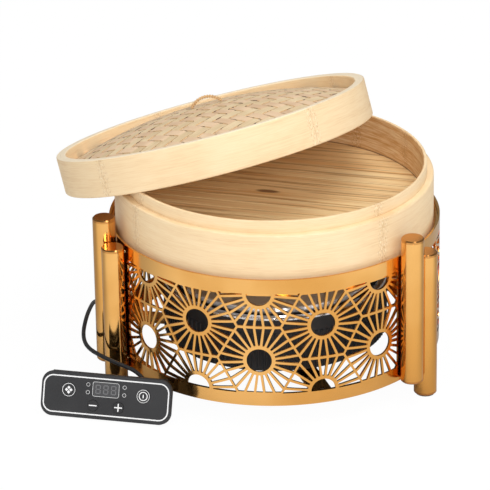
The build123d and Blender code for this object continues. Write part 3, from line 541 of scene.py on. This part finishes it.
moulded = {  # colour, worn colour, least and most roughness, grain per metre, grain depth
    "blackPlastic": ((0.016, 0.016, 0.017), (0.024, 0.024, 0.026), 0.38, 0.50, 2500, 0.00005),
    "facePlastic": ((0.020, 0.020, 0.022), (0.028, 0.028, 0.030), 0.44, 0.54, 3500, 0.00002),
    "keyPlastic": ((0.018, 0.018, 0.020), (0.025, 0.025, 0.027), 0.46, 0.56, 3500, 0.00002),
    "innerPlastic": ((0.06, 0.06, 0.065), (0.08, 0.08, 0.085), 0.5, 0.6, 1500, 0.00005),
    "rubber": ((0.020, 0.020, 0.020), (0.030, 0.030, 0.029), 0.65, 0.80, 2000, 0.0001),
    "cableSkin": ((0.014, 0.014, 0.015), (0.022, 0.022, 0.023), 0.36, 0.50, 1500, 0.00005),
    "blackGlass": ((0.008, 0.008, 0.009), (0.012, 0.012, 0.013), 0.05, 0.10, 400, 0.00001),
    "windowGlass": ((0.075, 0.075, 0.078), (0.085, 0.085, 0.088), 0.12, 0.18, 400, 0.00001),
    "printWhite": ((0.86, 0.86, 0.86), (0.80, 0.80, 0.80), 0.40, 0.50, 2000, 0.00001),
    "printPale": ((0.60, 0.60, 0.60), (0.54, 0.54, 0.54), 0.40, 0.50, 2000, 0.00001),
    "printGrey": ((0.15, 0.15, 0.155), (0.12, 0.12, 0.125), 0.40, 0.50, 2000, 0.00001),
    "boardGreen": ((0.02, 0.12, 0.05), (0.03, 0.16, 0.07), 0.35, 0.50, 900, 0.00005),
    # the lining is coloured dark as painted shade seen through the gaps of the mat
    "liningPaintedShade": ((0.20, 0.11, 0.05), (0.12, 0.06, 0.03), 0.6, 0.8, 900, 0.0002),
    "pegBamboo": ((0.72, 0.50, 0.27), (0.58, 0.37, 0.18), 0.5, 0.65, 900, 0.0002),
}
brushed = {  # colour, worn colour, least and most roughness, how metallic
    "satinSteel": ((0.72, 0.72, 0.73), (0.62, 0.62, 0.63), 0.20, 0.34, 1.0),
    "brightSteel": ((0.80, 0.80, 0.81), (0.74, 0.74, 0.75), 0.10, 0.18, 1.0),
    # the pan is only partly metallic with a near-white colour: painted reflection standing for the
    # bright reflections seen on it
    "panSteelPaintedBright": ((0.94, 0.94, 0.95), (0.86, 0.86, 0.87), 0.05, 0.10, 0.45),
    "copper": ((0.72, 0.36, 0.20), (0.60, 0.28, 0.14), 0.25, 0.40, 1.0),
}
for name, rule in moulded.items():
    makeMaterial(name, mouldedLook(*rule))
for name, (*rule, metallic) in brushed.items():
    makeMaterial(name, brushedLook(*rule), Metallic=metallic)

finishes = {
    "goldMetal": ["front_panel", "right_panel", "left_panel",
                  "basket_seat", "base_ring", "heater_cradle",
                  "high_post_right", "high_post_rear", "high_post_left",
                  "low_post_right", "low_post_rear", "low_post_left"],
    "capGoldPaintedShade": ["post_caps"],
    "satinSteel": ["stand_screws", "cover_screws", "controller_screws", "post_inserts"],
    "panSteelPaintedBright": ["water_pan"],
    "brightSteel": ["trim_ring"],
    "rubber": ["foot_pads", "heater_pads", "cable_bush", "heater_gland"],
    "blackPlastic": ["heater_housing", "heater_base_cover", "mains_inlet", "fan_frame", "fan_rotor",
                     "controller_case"],
    "innerPlastic": ["coil_carrier", "heater_standoffs", "thermal_sensor", "board_parts",
                     "display_module"],
    "blackGlass": ["heater_glass"],
    "copper": ["heating_coil"],
    "boardGreen": ["power_board", "controller_board"],
    "basketBamboo": ["basket_inner_hoop", "basket_outer_hoop"],
    "lidBamboo": ["lid_outer_hoop", "lid_inner_hoop", "lid_support_hoop"],
    "slatBamboo": ["basket_floor_ring", "basket_slats", "basket_cross_bars", "lid_ribs"],
    "pegBamboo": ["basket_pegs", "lid_pegs"],
    "stripBamboo": ["lid_mat"],
    "cane": ["lid_loop"],
    "facePlastic": ["controller_front"],
    "printWhite": ["controller_line"],
    "keyPlastic": ["menu_key", "power_key", "minus_key", "plus_key", "indicator_lenses"],
    "windowGlass": ["display_window"],
    "cableSkin": ["control_cable"],
}
for look, names in finishes.items():
    for name in names:
        nodes[name].data.materials.clear()
        nodes[name].data.materials.append(materials[look])
print("materials on", sum(len(v) for v in finishes.values()), "nodes")


def addPiece(name, points, faces, look, body, slotName, replaced=(), sharp=40):
    mesh = bpy.data.meshes.new(name)
    mesh.from_pydata(points, [], faces)
    mesh.materials.append(materials[look])
    mesh.polygons.foreach_set("use_smooth", [True] * len(mesh.polygons))
    mesh.set_sharp_from_angle(angle=radians(sharp))
    piece = newObject(name, mesh)
    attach(piece, body)
    if replaced:
        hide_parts(*replaced)
    return piece


# Cable: from the controller round the back of the stand to the heater
cable = {
    "radius": 2.0,
    "curveSteps": 16,
    "bevelSteps": 6,
    "order": 3,
    "exitX": 38.0,
    "exitLevel": 24.0,
    "exitWay": (-0.498, 0.755, 0.432),
    "bush": 8.0,
    "firstRun": 14.0,
    "lastRun": 16.0,
    "glandRadius": 108.0,
    "glandBearing": 210.0,
    "glandLevel": 50.0,
    "glandDip": 35.0,
    "glandLength": 9.0,
    "points": [
        (-147.2, -104.0, 37.4),
        (-165.0, -95.0, 41.5),
        (-181.1, -79.0, 43.8),
        (-187.0, -50.0, 43.0),
        (-185.5, -8.0, 42.5),
        (-182.0, 36.0, 36.0),
        (-180.0, 75.0, 22.0),
        (-166.0, 110.0, 9.0),
        (-135.8, 135.8, 2.2),
        (-98.4, 145.9, 4.0),
        (-71.0, 123.0, 10.0),
    ],
}

# Controller: its face plane, as in the solids
panel = {
    "foot": (-163.5, -150.4),
    "height": 43.0,
    "thickness": 6.0,
    "lean": 22.0,
    "turn": 12.8,
    "caseTop": 8.0,
    "caseFoot": 28.0,
    "caseEdge": 3.25,
}


def faceAxes(p):  # along the face and out of it
    tilt, yaw = radians(p["lean"]), radians(p["turn"])
    side = Vector((cos(yaw), -sin(yaw), 0))
    return side, Vector((-sin(yaw) * cos(tilt), -cos(yaw) * cos(tilt), sin(tilt)))


def faceFrame(p):
    tilt = radians(p["lean"])
    side, out = faceAxes(p)
    up = out.cross(side)
    centre = Vector((*p["foot"], p["thickness"] * sin(tilt))) + up * (p["height"] / 2)
    return Matrix.Translation(centre * mm) @ Matrix((side, up, out)).transposed().to_4x4()


facePlace = faceFrame(panel)


def cableEnds(c, p):
    tilt, yaw = radians(p["lean"]), radians(p["turn"])
    side, out = faceAxes(p)
    back = Vector((sin(yaw), cos(yaw), 0))
    high = p["height"] - p["caseEdge"]
    slope = (p["caseFoot"] - high * sin(tilt) - p["caseTop"]) / (high * cos(tilt))
    depth = p["caseFoot"] - c["exitLevel"] * slope
    foot = Vector((*p["foot"], p["thickness"] * sin(tilt))) - out * p["thickness"]
    way = Vector(c["exitWay"]).normalized()
    start = foot + side * c["exitX"] + back * depth + Vector((0, 0, c["exitLevel"]))
    start += way * c["bush"]
    dip, t = radians(c["glandDip"]), radians(c["glandBearing"])
    glandWay = Vector((sin(t) * cos(dip), -cos(t) * cos(dip), -sin(dip)))
    gland = Vector((c["glandRadius"] * sin(t), -c["glandRadius"] * cos(t), c["glandLevel"]))
    return start, way, gland + glandWay * c["glandLength"], glandWay


def layCable(c, p):
    start, way, end, glandWay = cableEnds(c, p)
    line = [start, start + way * c["firstRun"]]
    line += [Vector(q) for q in c["points"]]
    line += [end + glandWay * c["lastRun"], end]
    data = bpy.data.curves.new("controlCable", "CURVE")
    data.dimensions = "3D"
    data.resolution_u = c["curveSteps"]
    data.bevel_depth = c["radius"] * mm
    data.bevel_resolution = c["bevelSteps"]
    data.use_fill_caps = True
    spline = data.splines.new("NURBS")
    spline.points.add(len(line) - 1)
    for point, place in zip(spline.points, line):
        point.co = (*(place * mm), 1)
    spline.order_u = c["order"]
    spline.use_endpoint_u = True
    data.materials.append(materials["cableSkin"])
    piece = newObject("controlCable", data)
    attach(piece, "stand")
    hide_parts("control_cable")
    bpy.context.view_layer.update()
    start * mm


layCable(cable, panel)

# Woven mat of the lid: two sets of flat strips in a two-over, two-under twill on the dome
weave = {
    "pitch": (12.0, 11.0),  # strips along X, strips along Y
    "shift": (-0.7, -5.7),
    "gap": 0.9,
    "looseness": (0.6, 1.4),
    "thickness": 0.85,
    "lift": 0.62,
    "edge": 145.4,
    "edgeKept": 1.0,  # a strip that lies nearer to the edge than this is left out
    "seed": 4,
    "stations": (-0.30, 0.0, 0.30),
    "margin": 1.5,
    "lining": 0.12,
    "edgePlace": 50.0,  # side faces have their own stretch of the UV map
    "rings": 24,
    "round": 96,
}


def domeOf(p):  # edge radius, dome radius, and how far the dome's top stands over the lid's edge
    matEdge = p["radius"] - p["wall"] - p["hoopGap"] - p["innerWall"] - p["hoopGap"]
    return matEdge, (matEdge**2 + p["rise"] ** 2) / (2 * p["rise"]), p["rise"] - p["drop"]


def addLining(p, q):  # a thin dark sheet between the strips, so that no light passes through the gaps; it stands for the lid's inner layer, and its dark colour is painted shade for what shows through the gaps
    matEdge, dome, top = domeOf(p)
    crest = top - p["mat"] / 2
    points, faces = [], []
    for level in (q["lining"], -q["lining"]):
        for ring in range(1, q["rings"] + 1):
            radius = matEdge * ring / q["rings"]
            z = crest + level - dome + sqrt(dome**2 - radius**2)
            for k in range(q["round"]):
                t = 2 * pi * k / q["round"]
                points.append(lidPlace @ (Vector((radius * cos(t), radius * sin(t), z)) * mm))
    half = q["rings"] * q["round"]
    peak = len(points)
    points += [lidPlace @ (Vector((0, 0, crest + level)) * mm) for level in (q["lining"], -q["lining"])]
    for k in range(q["round"]):
        n = (k + 1) % q["round"]
        faces += [(peak, k, n), (peak + 1, half + n, half + k)]
        for ring in range(q["rings"] - 1):
            a, b = ring * q["round"], (ring + 1) * q["round"]
            faces.append((a + k, b + k, b + n, a + n))
            faces.append((half + a + n, half + b + n, half + b + k, half + a + k))
        edge = (q["rings"] - 1) * q["round"]
        faces.append((edge + k, half + edge + k, half + edge + n, edge + n))
    addPiece("lidLining", points, faces, "liningPaintedShade", "lid", "woven_bamboo")


def stripStations(q, family, i, reach):
    pitch, shift = q["pitch"][1 - family], q["shift"][1 - family]
    half = int(q["edge"] / pitch) + 1
    stations = []
    for j in range(-half, half + 1):
        over = ((i + j + 1) % 4 < 2) == (family == 0)  # two over, two under
        height = q["lift"] if over else -q["lift"]
        for s in q["stations"]:
            u = (j + 0.5 + s) * pitch + shift
            if abs(u) < reach - q["margin"]:
                stations.append((u, height))
    if stations:
        stations = [(-q["edge"], stations[0][1]), *stations, (q["edge"], stations[-1][1])]
    return stations


def weaveMat(p, q):
    rng = random.Random(q["seed"])
    matEdge, dome, top = domeOf(p)
    crest = top - p["mat"] / 2
    points, faces, tones, alongs, sides = [], [], [], [], []
    for family in (0, 1):
        pitch = q["pitch"][family]
        half = int(q["edge"] / pitch) + 1
        for i in range(-half, half + 1):
            offset = (i + 0.5) * pitch + q["shift"][family]
            width = pitch - q["gap"] * rng.uniform(*q["looseness"])
            outer = abs(offset) + width / 2
            tone = 0.5 * (family + rng.random())  # the upper half belongs to the second set
            if outer > q["edge"] - q["edgeKept"]:
                continue
            stations = stripStations(q, family, i, sqrt(q["edge"] ** 2 - outer**2))
            first = len(points)
            for station, height in stations:
                for side, level in ((-1, -1), (1, -1), (1, 1), (-1, 1)):
                    v = offset + side * width / 2
                    limit = sqrt(max(q["edge"] ** 2 - v * v, 0))  # each corner ends on the circle
                    u = max(-limit, min(limit, station))
                    x, y = (v, u) if family else (u, v)
                    rise = crest - dome + sqrt(dome**2 - min(x * x + y * y, matEdge**2))
                    z = rise + height + level * q["thickness"] / 2
                    points.append(lidPlace @ (Vector((x, y, z)) * mm))
                    tones.append(tone)
                    edge = q["edgePlace"] + level * q["thickness"]
                    alongs.append((u * mm, side * width / 2 * mm, edge * mm))
            count = len(stations)
            last = first + 4 * (count - 1)
            rims = [(first + 3, first + 2, first + 1, first), (last, last + 1, last + 2, last + 3)]
            sides += [True, True]
            for k in range(count - 1):
                a, b = first + 4 * k, first + 4 * k + 4
                for m in range(4):
                    n = (m + 1) % 4
                    rims.append((a + m, a + n, b + n, b + m))
                    sides.append(m % 2 == 1)  # the first and third face are the strip's back and front
            faces += [tuple(reversed(face)) for face in rims] if family else rims
    addLining(p, q)
    piece = addPiece("lidWeave", points, faces, "stripBamboo", "lid", "woven_bamboo", ["lid_mat"],
                     sharp=60)
    addStripData(piece, tones, alongs, sides)
    print("mat woven,", len(faces), "faces")


def addStripData(piece, tones, alongs, sides):
    mesh = piece.data
    tone = mesh.attributes.new("strip", "FLOAT", "POINT")
    tone.data.foreach_set("value", tones)
    layer = mesh.uv_layers.new(name="along")
    for polygon, onSide in zip(mesh.polygons, sides):
        for index in polygon.loop_indices:
            u, v, edge = alongs[mesh.loops[index].vertex_index]
            layer.data[index].uv = (u, edge if onSide else v)


weaveMat(lid, weave)

# Loop of twisted cane at the middle of the lid
loop = {
    "span": 30.0,
    "rise": 7.6,
    "turn": -40.0,
    "strand": 0.95,
    "twist": 0.74,
    "turns": 7,
    "sides": 10,
    "steps": 120,
    "seat": 1.2,
    "tone": 0.5,
}


def twistLoop(p, q):
    dome, top = domeOf(p)[1:]
    foot = top - dome + sqrt(dome**2 - (q["span"] / 2) ** 2) + q["seat"]
    arc = ((q["span"] / 2) ** 2 + q["rise"] ** 2) / (2 * q["rise"])
    sweep = 2 * atan2(q["span"] / 2, arc - q["rise"])
    turn = radians(q["turn"])
    side = Vector((cos(turn), sin(turn), 0))
    across = Vector((-sin(turn), cos(turn), 0))
    up = Vector((0, 0, 1))
    points, faces, tones, alongs = [], [], [], []
    for strand in (0, 1):
        first = len(points)
        for k in range(q["steps"] + 1):
            share = k / q["steps"]
            angle = -sweep / 2 + sweep * share
            out = side * sin(angle) + up * cos(angle)
            spin = 2 * pi * q["turns"] * share + pi * strand
            centre = side * (arc * sin(angle)) + up * (foot + q["rise"] - arc + arc * cos(angle))
            middle = centre + (out * cos(spin) + across * sin(spin)) * q["twist"]
            for m in range(q["sides"]):
                roll = 2 * pi * m / q["sides"]
                place = middle + (out * cos(roll) + across * sin(roll)) * q["strand"]
                points.append(lidPlace @ (place * mm))
                tones.append(q["tone"])
                alongs.append((share * arc * sweep * mm, q["strand"] * roll * mm, 0.0))
        for k in range(q["steps"]):
            for m in range(q["sides"]):
                n = (m + 1) % q["sides"]
                a = first + k * q["sides"]
                b = a + q["sides"]
                faces.append((a + m, b + m, b + n, a + n))
        faces.append(tuple(first + m for m in range(q["sides"])))
        last = first + q["steps"] * q["sides"]
        faces.append(tuple(last + m for m in reversed(range(q["sides"]))))
    piece = addPiece("lidLoop", points, faces, "cane", "lid", "loop_cane", ["lid_loop"], sharp=60)
    addStripData(piece, tones, alongs, [False] * len(faces))


twistLoop(lid, loop)
print("loop twisted")

# Printed marks on the controller's face and keys
marks = {
    "film": 0.06,
    "menu": (-36.5, 4.4),
    "power": (36.4, 4.3),
    "minus": (-12.0, -8.6),
    "plus": (12.8, -8.6),
    "keyRadius": 6.6,
    "keyProud": 0.4,
    "inset": 0.3,
    "line": 0.45,
    "diamond": 1.65,
    "diamondStep": 2.15,
    "ring": 4.3,
    "ringLine": 0.8,
    "stroke": (1.0, 3.2),
    "bar": (7.6, 1.1),
    "window": (25.2, 13.2),
    "windowPlace": (-0.4, 7.2),
    "windowCorner": 1.8,
    "lens": [(-17.8, 3.6), (-17.8, 11.0), (17.8, 3.6), (17.8, 11.0)],
    "lensRadius": 1.45,
    "lensSides": 24,
    "digit": (5.2, 8.8),
    "digitPitch": 7.6,
    "segment": 1.0,
    "segmentLength": 3.4,
    "segmentInset": 0.5,
}


def circlePoints(radius, centre, count):
    return [(centre[0] + radius * cos(2 * pi * k / count), centre[1] + radius * sin(2 * pi * k / count))
            for k in range(count)]


def roundedPoints(width, height, corner, centre, count=8):
    points = []
    for quarter in range(4):
        sx = 1 if quarter in (0, 3) else -1
        sy = 1 if quarter in (0, 1) else -1
        cx, cy = centre[0] + sx * (width / 2 - corner), centre[1] + sy * (height / 2 - corner)
        for k in range(count + 1):
            t = pi / 2 * (quarter + k / count)
            points.append((cx + corner * cos(t), cy + corner * sin(t)))
    return points


def prism(outline, low, high, store):
    points, faces = store
    first, count = len(points), len(outline)
    for z in (low, high):
        points.extend(facePlace @ (Vector((x, y, z)) * mm) for x, y in outline)
    faces.append(tuple(first + k for k in reversed(range(count))))
    faces.append(tuple(first + count + k for k in range(count)))
    for k in range(count):
        n = (k + 1) % count
        faces.append((first + k, first + n, first + count + n, first + count + k))


def band(outer, inner, low, high, store):
    points, faces = store
    first, count = len(points), len(outer)
    for outline, z in ((outer, low), (outer, high), (inner, high), (inner, low)):
        points.extend(facePlace @ (Vector((x, y, z)) * mm) for x, y in outline)
    for ring in range(4):
        here, there = first + ring * count, first + ((ring + 1) % 4) * count
        for k in range(count):
            n = (k + 1) % count
            faces.append((here + k, here + n, there + n, there + k))


def ringBand(radius, line, centre, low, high, store, count=48):
    outer, inner = (circlePoints(r, centre, count) for r in (radius, radius - line))
    band(outer, inner, low, high, store)


def bar(width, height, centre):
    x, y = centre
    return [(x - width / 2, y - height / 2), (x + width / 2, y - height / 2),
            (x + width / 2, y + height / 2), (x - width / 2, y + height / 2)]


def printMarks(q):
    low, high = q["keyProud"], q["keyProud"] + q["film"]
    store = ([], [])
    outer = q["keyRadius"] - q["inset"]
    ringBand(outer, q["line"], q["menu"], low, high, store)
    for dx, dy in ((0, 1), (1, 0), (0, -1), (-1, 0)):
        x, y = q["menu"][0] + dx * q["diamondStep"], q["menu"][1] + dy * q["diamondStep"]
        d = q["diamond"]
        prism([(x - d, y), (x, y - d), (x + d, y), (x, y + d)], low, high, store)
    addPiece("menuSign", *store, "printWhite", "menu_key", "panel_line")
    store = ([], [])
    for radius, line in ((outer, q["line"]), (q["ring"], q["ringLine"])):
        ringBand(radius, line, q["power"], low, high, store)
    prism(bar(*q["stroke"], q["power"]), low, high, store)
    addPiece("powerSign", *store, "printWhite", "power_key", "panel_line")
    long, wide = q["bar"]
    store = ([], [])
    prism(bar(long, wide, q["minus"]), low, high, store)
    addPiece("minusSign", *store, "printWhite", "minus_key", "panel_line")
    store = ([], [])
    a, b = long / 2, wide / 2
    x, y = q["plus"]
    cross = [(-b, -a), (b, -a), (b, -b), (a, -b), (a, b), (b, b),
             (b, a), (-b, a), (-b, b), (-a, b), (-a, -b), (-b, -b)]
    prism([(x + dx, y + dy) for dx, dy in cross], low, high, store)
    addPiece("plusSign", *store, "printWhite", "plus_key", "panel_line")
    store = ([], [])
    for centre in q["lens"]:
        ringBand(q["lensRadius"] + q["line"], q["line"], centre, 0, q["film"], store, q["lensSides"])
    w, h = q["window"]
    grow = q["line"]
    band(roundedPoints(w + 2 * grow, h + 2 * grow, q["windowCorner"] + grow, q["windowPlace"]),
         roundedPoints(w, h, q["windowCorner"], q["windowPlace"]), 0, q["film"], store)
    addPiece("faceRings", *store, "printPale", "stand", "panel_line")


printMarks(marks)


# Display segments: one bar repeated on points by Geometry Nodes
def segmentTree():
    tree = bpy.data.node_groups.new("segments", "GeometryNodeTree")
    face = tree.interface
    face.new_socket("Geometry", in_out="INPUT", socket_type="NodeSocketGeometry")
    for name in ("Length", "Width", "Film"):
        face.new_socket(name, in_out="INPUT", socket_type="NodeSocketFloat")
    face.new_socket("Geometry", in_out="OUTPUT", socket_type="NodeSocketGeometry")
    new, link = tree.nodes.new, tree.links.new
    group, out = new("NodeGroupInput"), new("NodeGroupOutput")
    size = new("ShaderNodeCombineXYZ")
    for name, index in (("Length", 0), ("Width", 1), ("Film", 2)):
        link(group.outputs[name], size.inputs[index])
    cube = new("GeometryNodeMeshCube")
    link(size.outputs[0], cube.inputs["Size"])
    turn = new("GeometryNodeInputNamedAttribute")
    turn.data_type = "FLOAT_VECTOR"
    turn.inputs["Name"].default_value = "turn"
    spread = new("GeometryNodeInstanceOnPoints")
    link(group.outputs["Geometry"], spread.inputs["Points"])
    link(cube.outputs["Mesh"], spread.inputs["Instance"])
    link(turn.outputs["Attribute"], spread.inputs["Rotation"])
    real = new("GeometryNodeRealizeInstances")
    link(spread.outputs[0], real.inputs[0])
    paint = new("GeometryNodeSetMaterial")
    paint.inputs["Material"].default_value = materials["printGrey"]
    link(real.outputs[0], paint.inputs["Geometry"])
    link(paint.outputs[0], out.inputs[0])
    return tree


def makeDisplay(q):
    w, h = q["digit"]
    inset = q["segmentInset"]
    places = []
    for digit in (-1, 0, 1):
        x, y = q["windowPlace"][0] + digit * q["digitPitch"], q["windowPlace"][1]
        places += [(x, y + h / 2 - inset, 0), (x, y, 0), (x, y - h / 2 + inset, 0)]
        places += [(x + sx * (w / 2 - inset), y + sy * h / 4, pi / 2)
                   for sx in (-1, 1) for sy in (-1, 1)]
    mesh = bpy.data.meshes.new("displaySegments")
    mesh.from_pydata([facePlace @ (Vector((x, y, q["film"] / 2)) * mm) for x, y, t in places], [], [])
    turns = []
    for x, y, t in places:
        turns.extend((facePlace.to_3x3() @ Matrix.Rotation(t, 3, "Z")).to_euler())
    mesh.attributes.new("turn", "FLOAT_VECTOR", "POINT").data.foreach_set("vector", turns)
    base = newObject("displayPoints", mesh)
    modifier = base.modifiers.new("segments", "NODES")
    modifier.node_group = segmentTree()
    sizes = {"Length": q["segmentLength"], "Width": q["segment"], "Film": q["film"]}
    for socket in modifier.node_group.interface.items_tree:
        if socket.name in sizes:
            modifier[socket.identifier] = sizes[socket.name] * mm
    bpy.context.view_layer.update()
    evaluated = base.evaluated_get(bpy.context.evaluated_depsgraph_get())
    result = bpy.data.meshes.new_from_object(evaluated)
    base.modifiers.remove(modifier)
    bpy.data.objects.remove(base)
    piece = newObject("displaySegments", result)
    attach(piece, "stand")


makeDisplay(marks)
print("controller marked")

# Studio: pale floor, soft lamps, a plain pale room
studio = {
    "floor": 6.0,
    "floorDrop": 0.0002,
    "floorShade": (0.88, 0.88, 0.88),
    "floorGlow": 0.96,
    "floorWhite": 1.01,
    "dim": 0.46,  # the floor beside and behind the object, in reflections only
    "dimmed": (-0.26, 0.02),
    "roomLight": 0.56,
    "roomGloss": 0.24,
    "lampTarget": (0, 0, 0.12),
    "lamps": [
        {"name": "key", "place": (-1.0, -2.3, 1.9), "size": (0.7, 1.8), "power": 11},
        {"name": "fill", "place": (1.4, -1.7, 1.6), "size": (0.7, 1.6), "power": 8},
        {"name": "front", "place": (0.3, -2.7, 1.5), "size": (0.6, 0.8), "power": 24},
        {"name": "top", "place": (0.5, -0.2, 2.5), "size": (1.4, 1.4), "power": 22},
    ],
}


def makeStudio(s):
    data = bpy.data.meshes.new("floor")
    r = s["floor"]
    data.from_pydata([(-r, -r, 0), (r, -r, 0), (r, r, 0), (-r, r, 0)], [], [(0, 1, 2, 3)])
    floor = newObject("floor", data)
    floor.location.z = -s["floorDrop"]
    material = bpy.data.materials.new("floor")
    material.use_nodes = True
    tree = material.node_tree
    w = Wire(tree)
    seen = w.make("LightPath", output="Is Camera Ray") * s["floorGlow"]
    mirrored = w.make("LightPath", output="Is Glossy Ray") * w.place().part(1).step(*s["dimmed"])
    colour = mirrored.blend(s["floorShade"], (s["dim"],) * 3)
    plain = w.make("BsdfDiffuse", {}, {"Color": colour})
    glow = w.make("Emission", {}, {"Color": (1, 1, 1, 1), "Strength": s["floorWhite"]})
    mixed = w.make("MixShader", {}, {0: seen, 1: plain, 2: glow})
    tree.links.new(mixed.socket, tree.nodes["Material Output"].inputs[0])
    data.materials.append(material)
    world = bpy.data.worlds.new("room")
    bpy.context.scene.world = world
    world.use_nodes = True
    tree = world.node_tree
    w = Wire(tree)
    seen = w.make("LightPath", output="Is Camera Ray")
    gloss = w.make("LightPath", output="Is Glossy Ray")
    level = s["roomLight"]
    strength = gloss * (s["roomGloss"] - level) + seen * (1 - level) + level
    background = tree.nodes["Background"]
    tree.links.new(strength.socket, background.inputs["Strength"])
    background.inputs["Color"].default_value = (1, 1, 1, 1)
    for lamp in s["lamps"]:
        light = bpy.data.lights.new(lamp["name"], "AREA")
        light.shape = "RECTANGLE"
        light.size, light.size_y = lamp["size"]
        light.energy = lamp["power"]
        item = newObject(lamp["name"], light)
        item.location = lamp["place"]
        aim = Vector(s["lampTarget"]) - Vector(lamp["place"])
        item.rotation_euler = aim.to_track_quat("-Z", "Y").to_euler()


makeStudio(studio)
bpy.context.scene.view_settings.view_transform = "Standard"

print("scene ready")
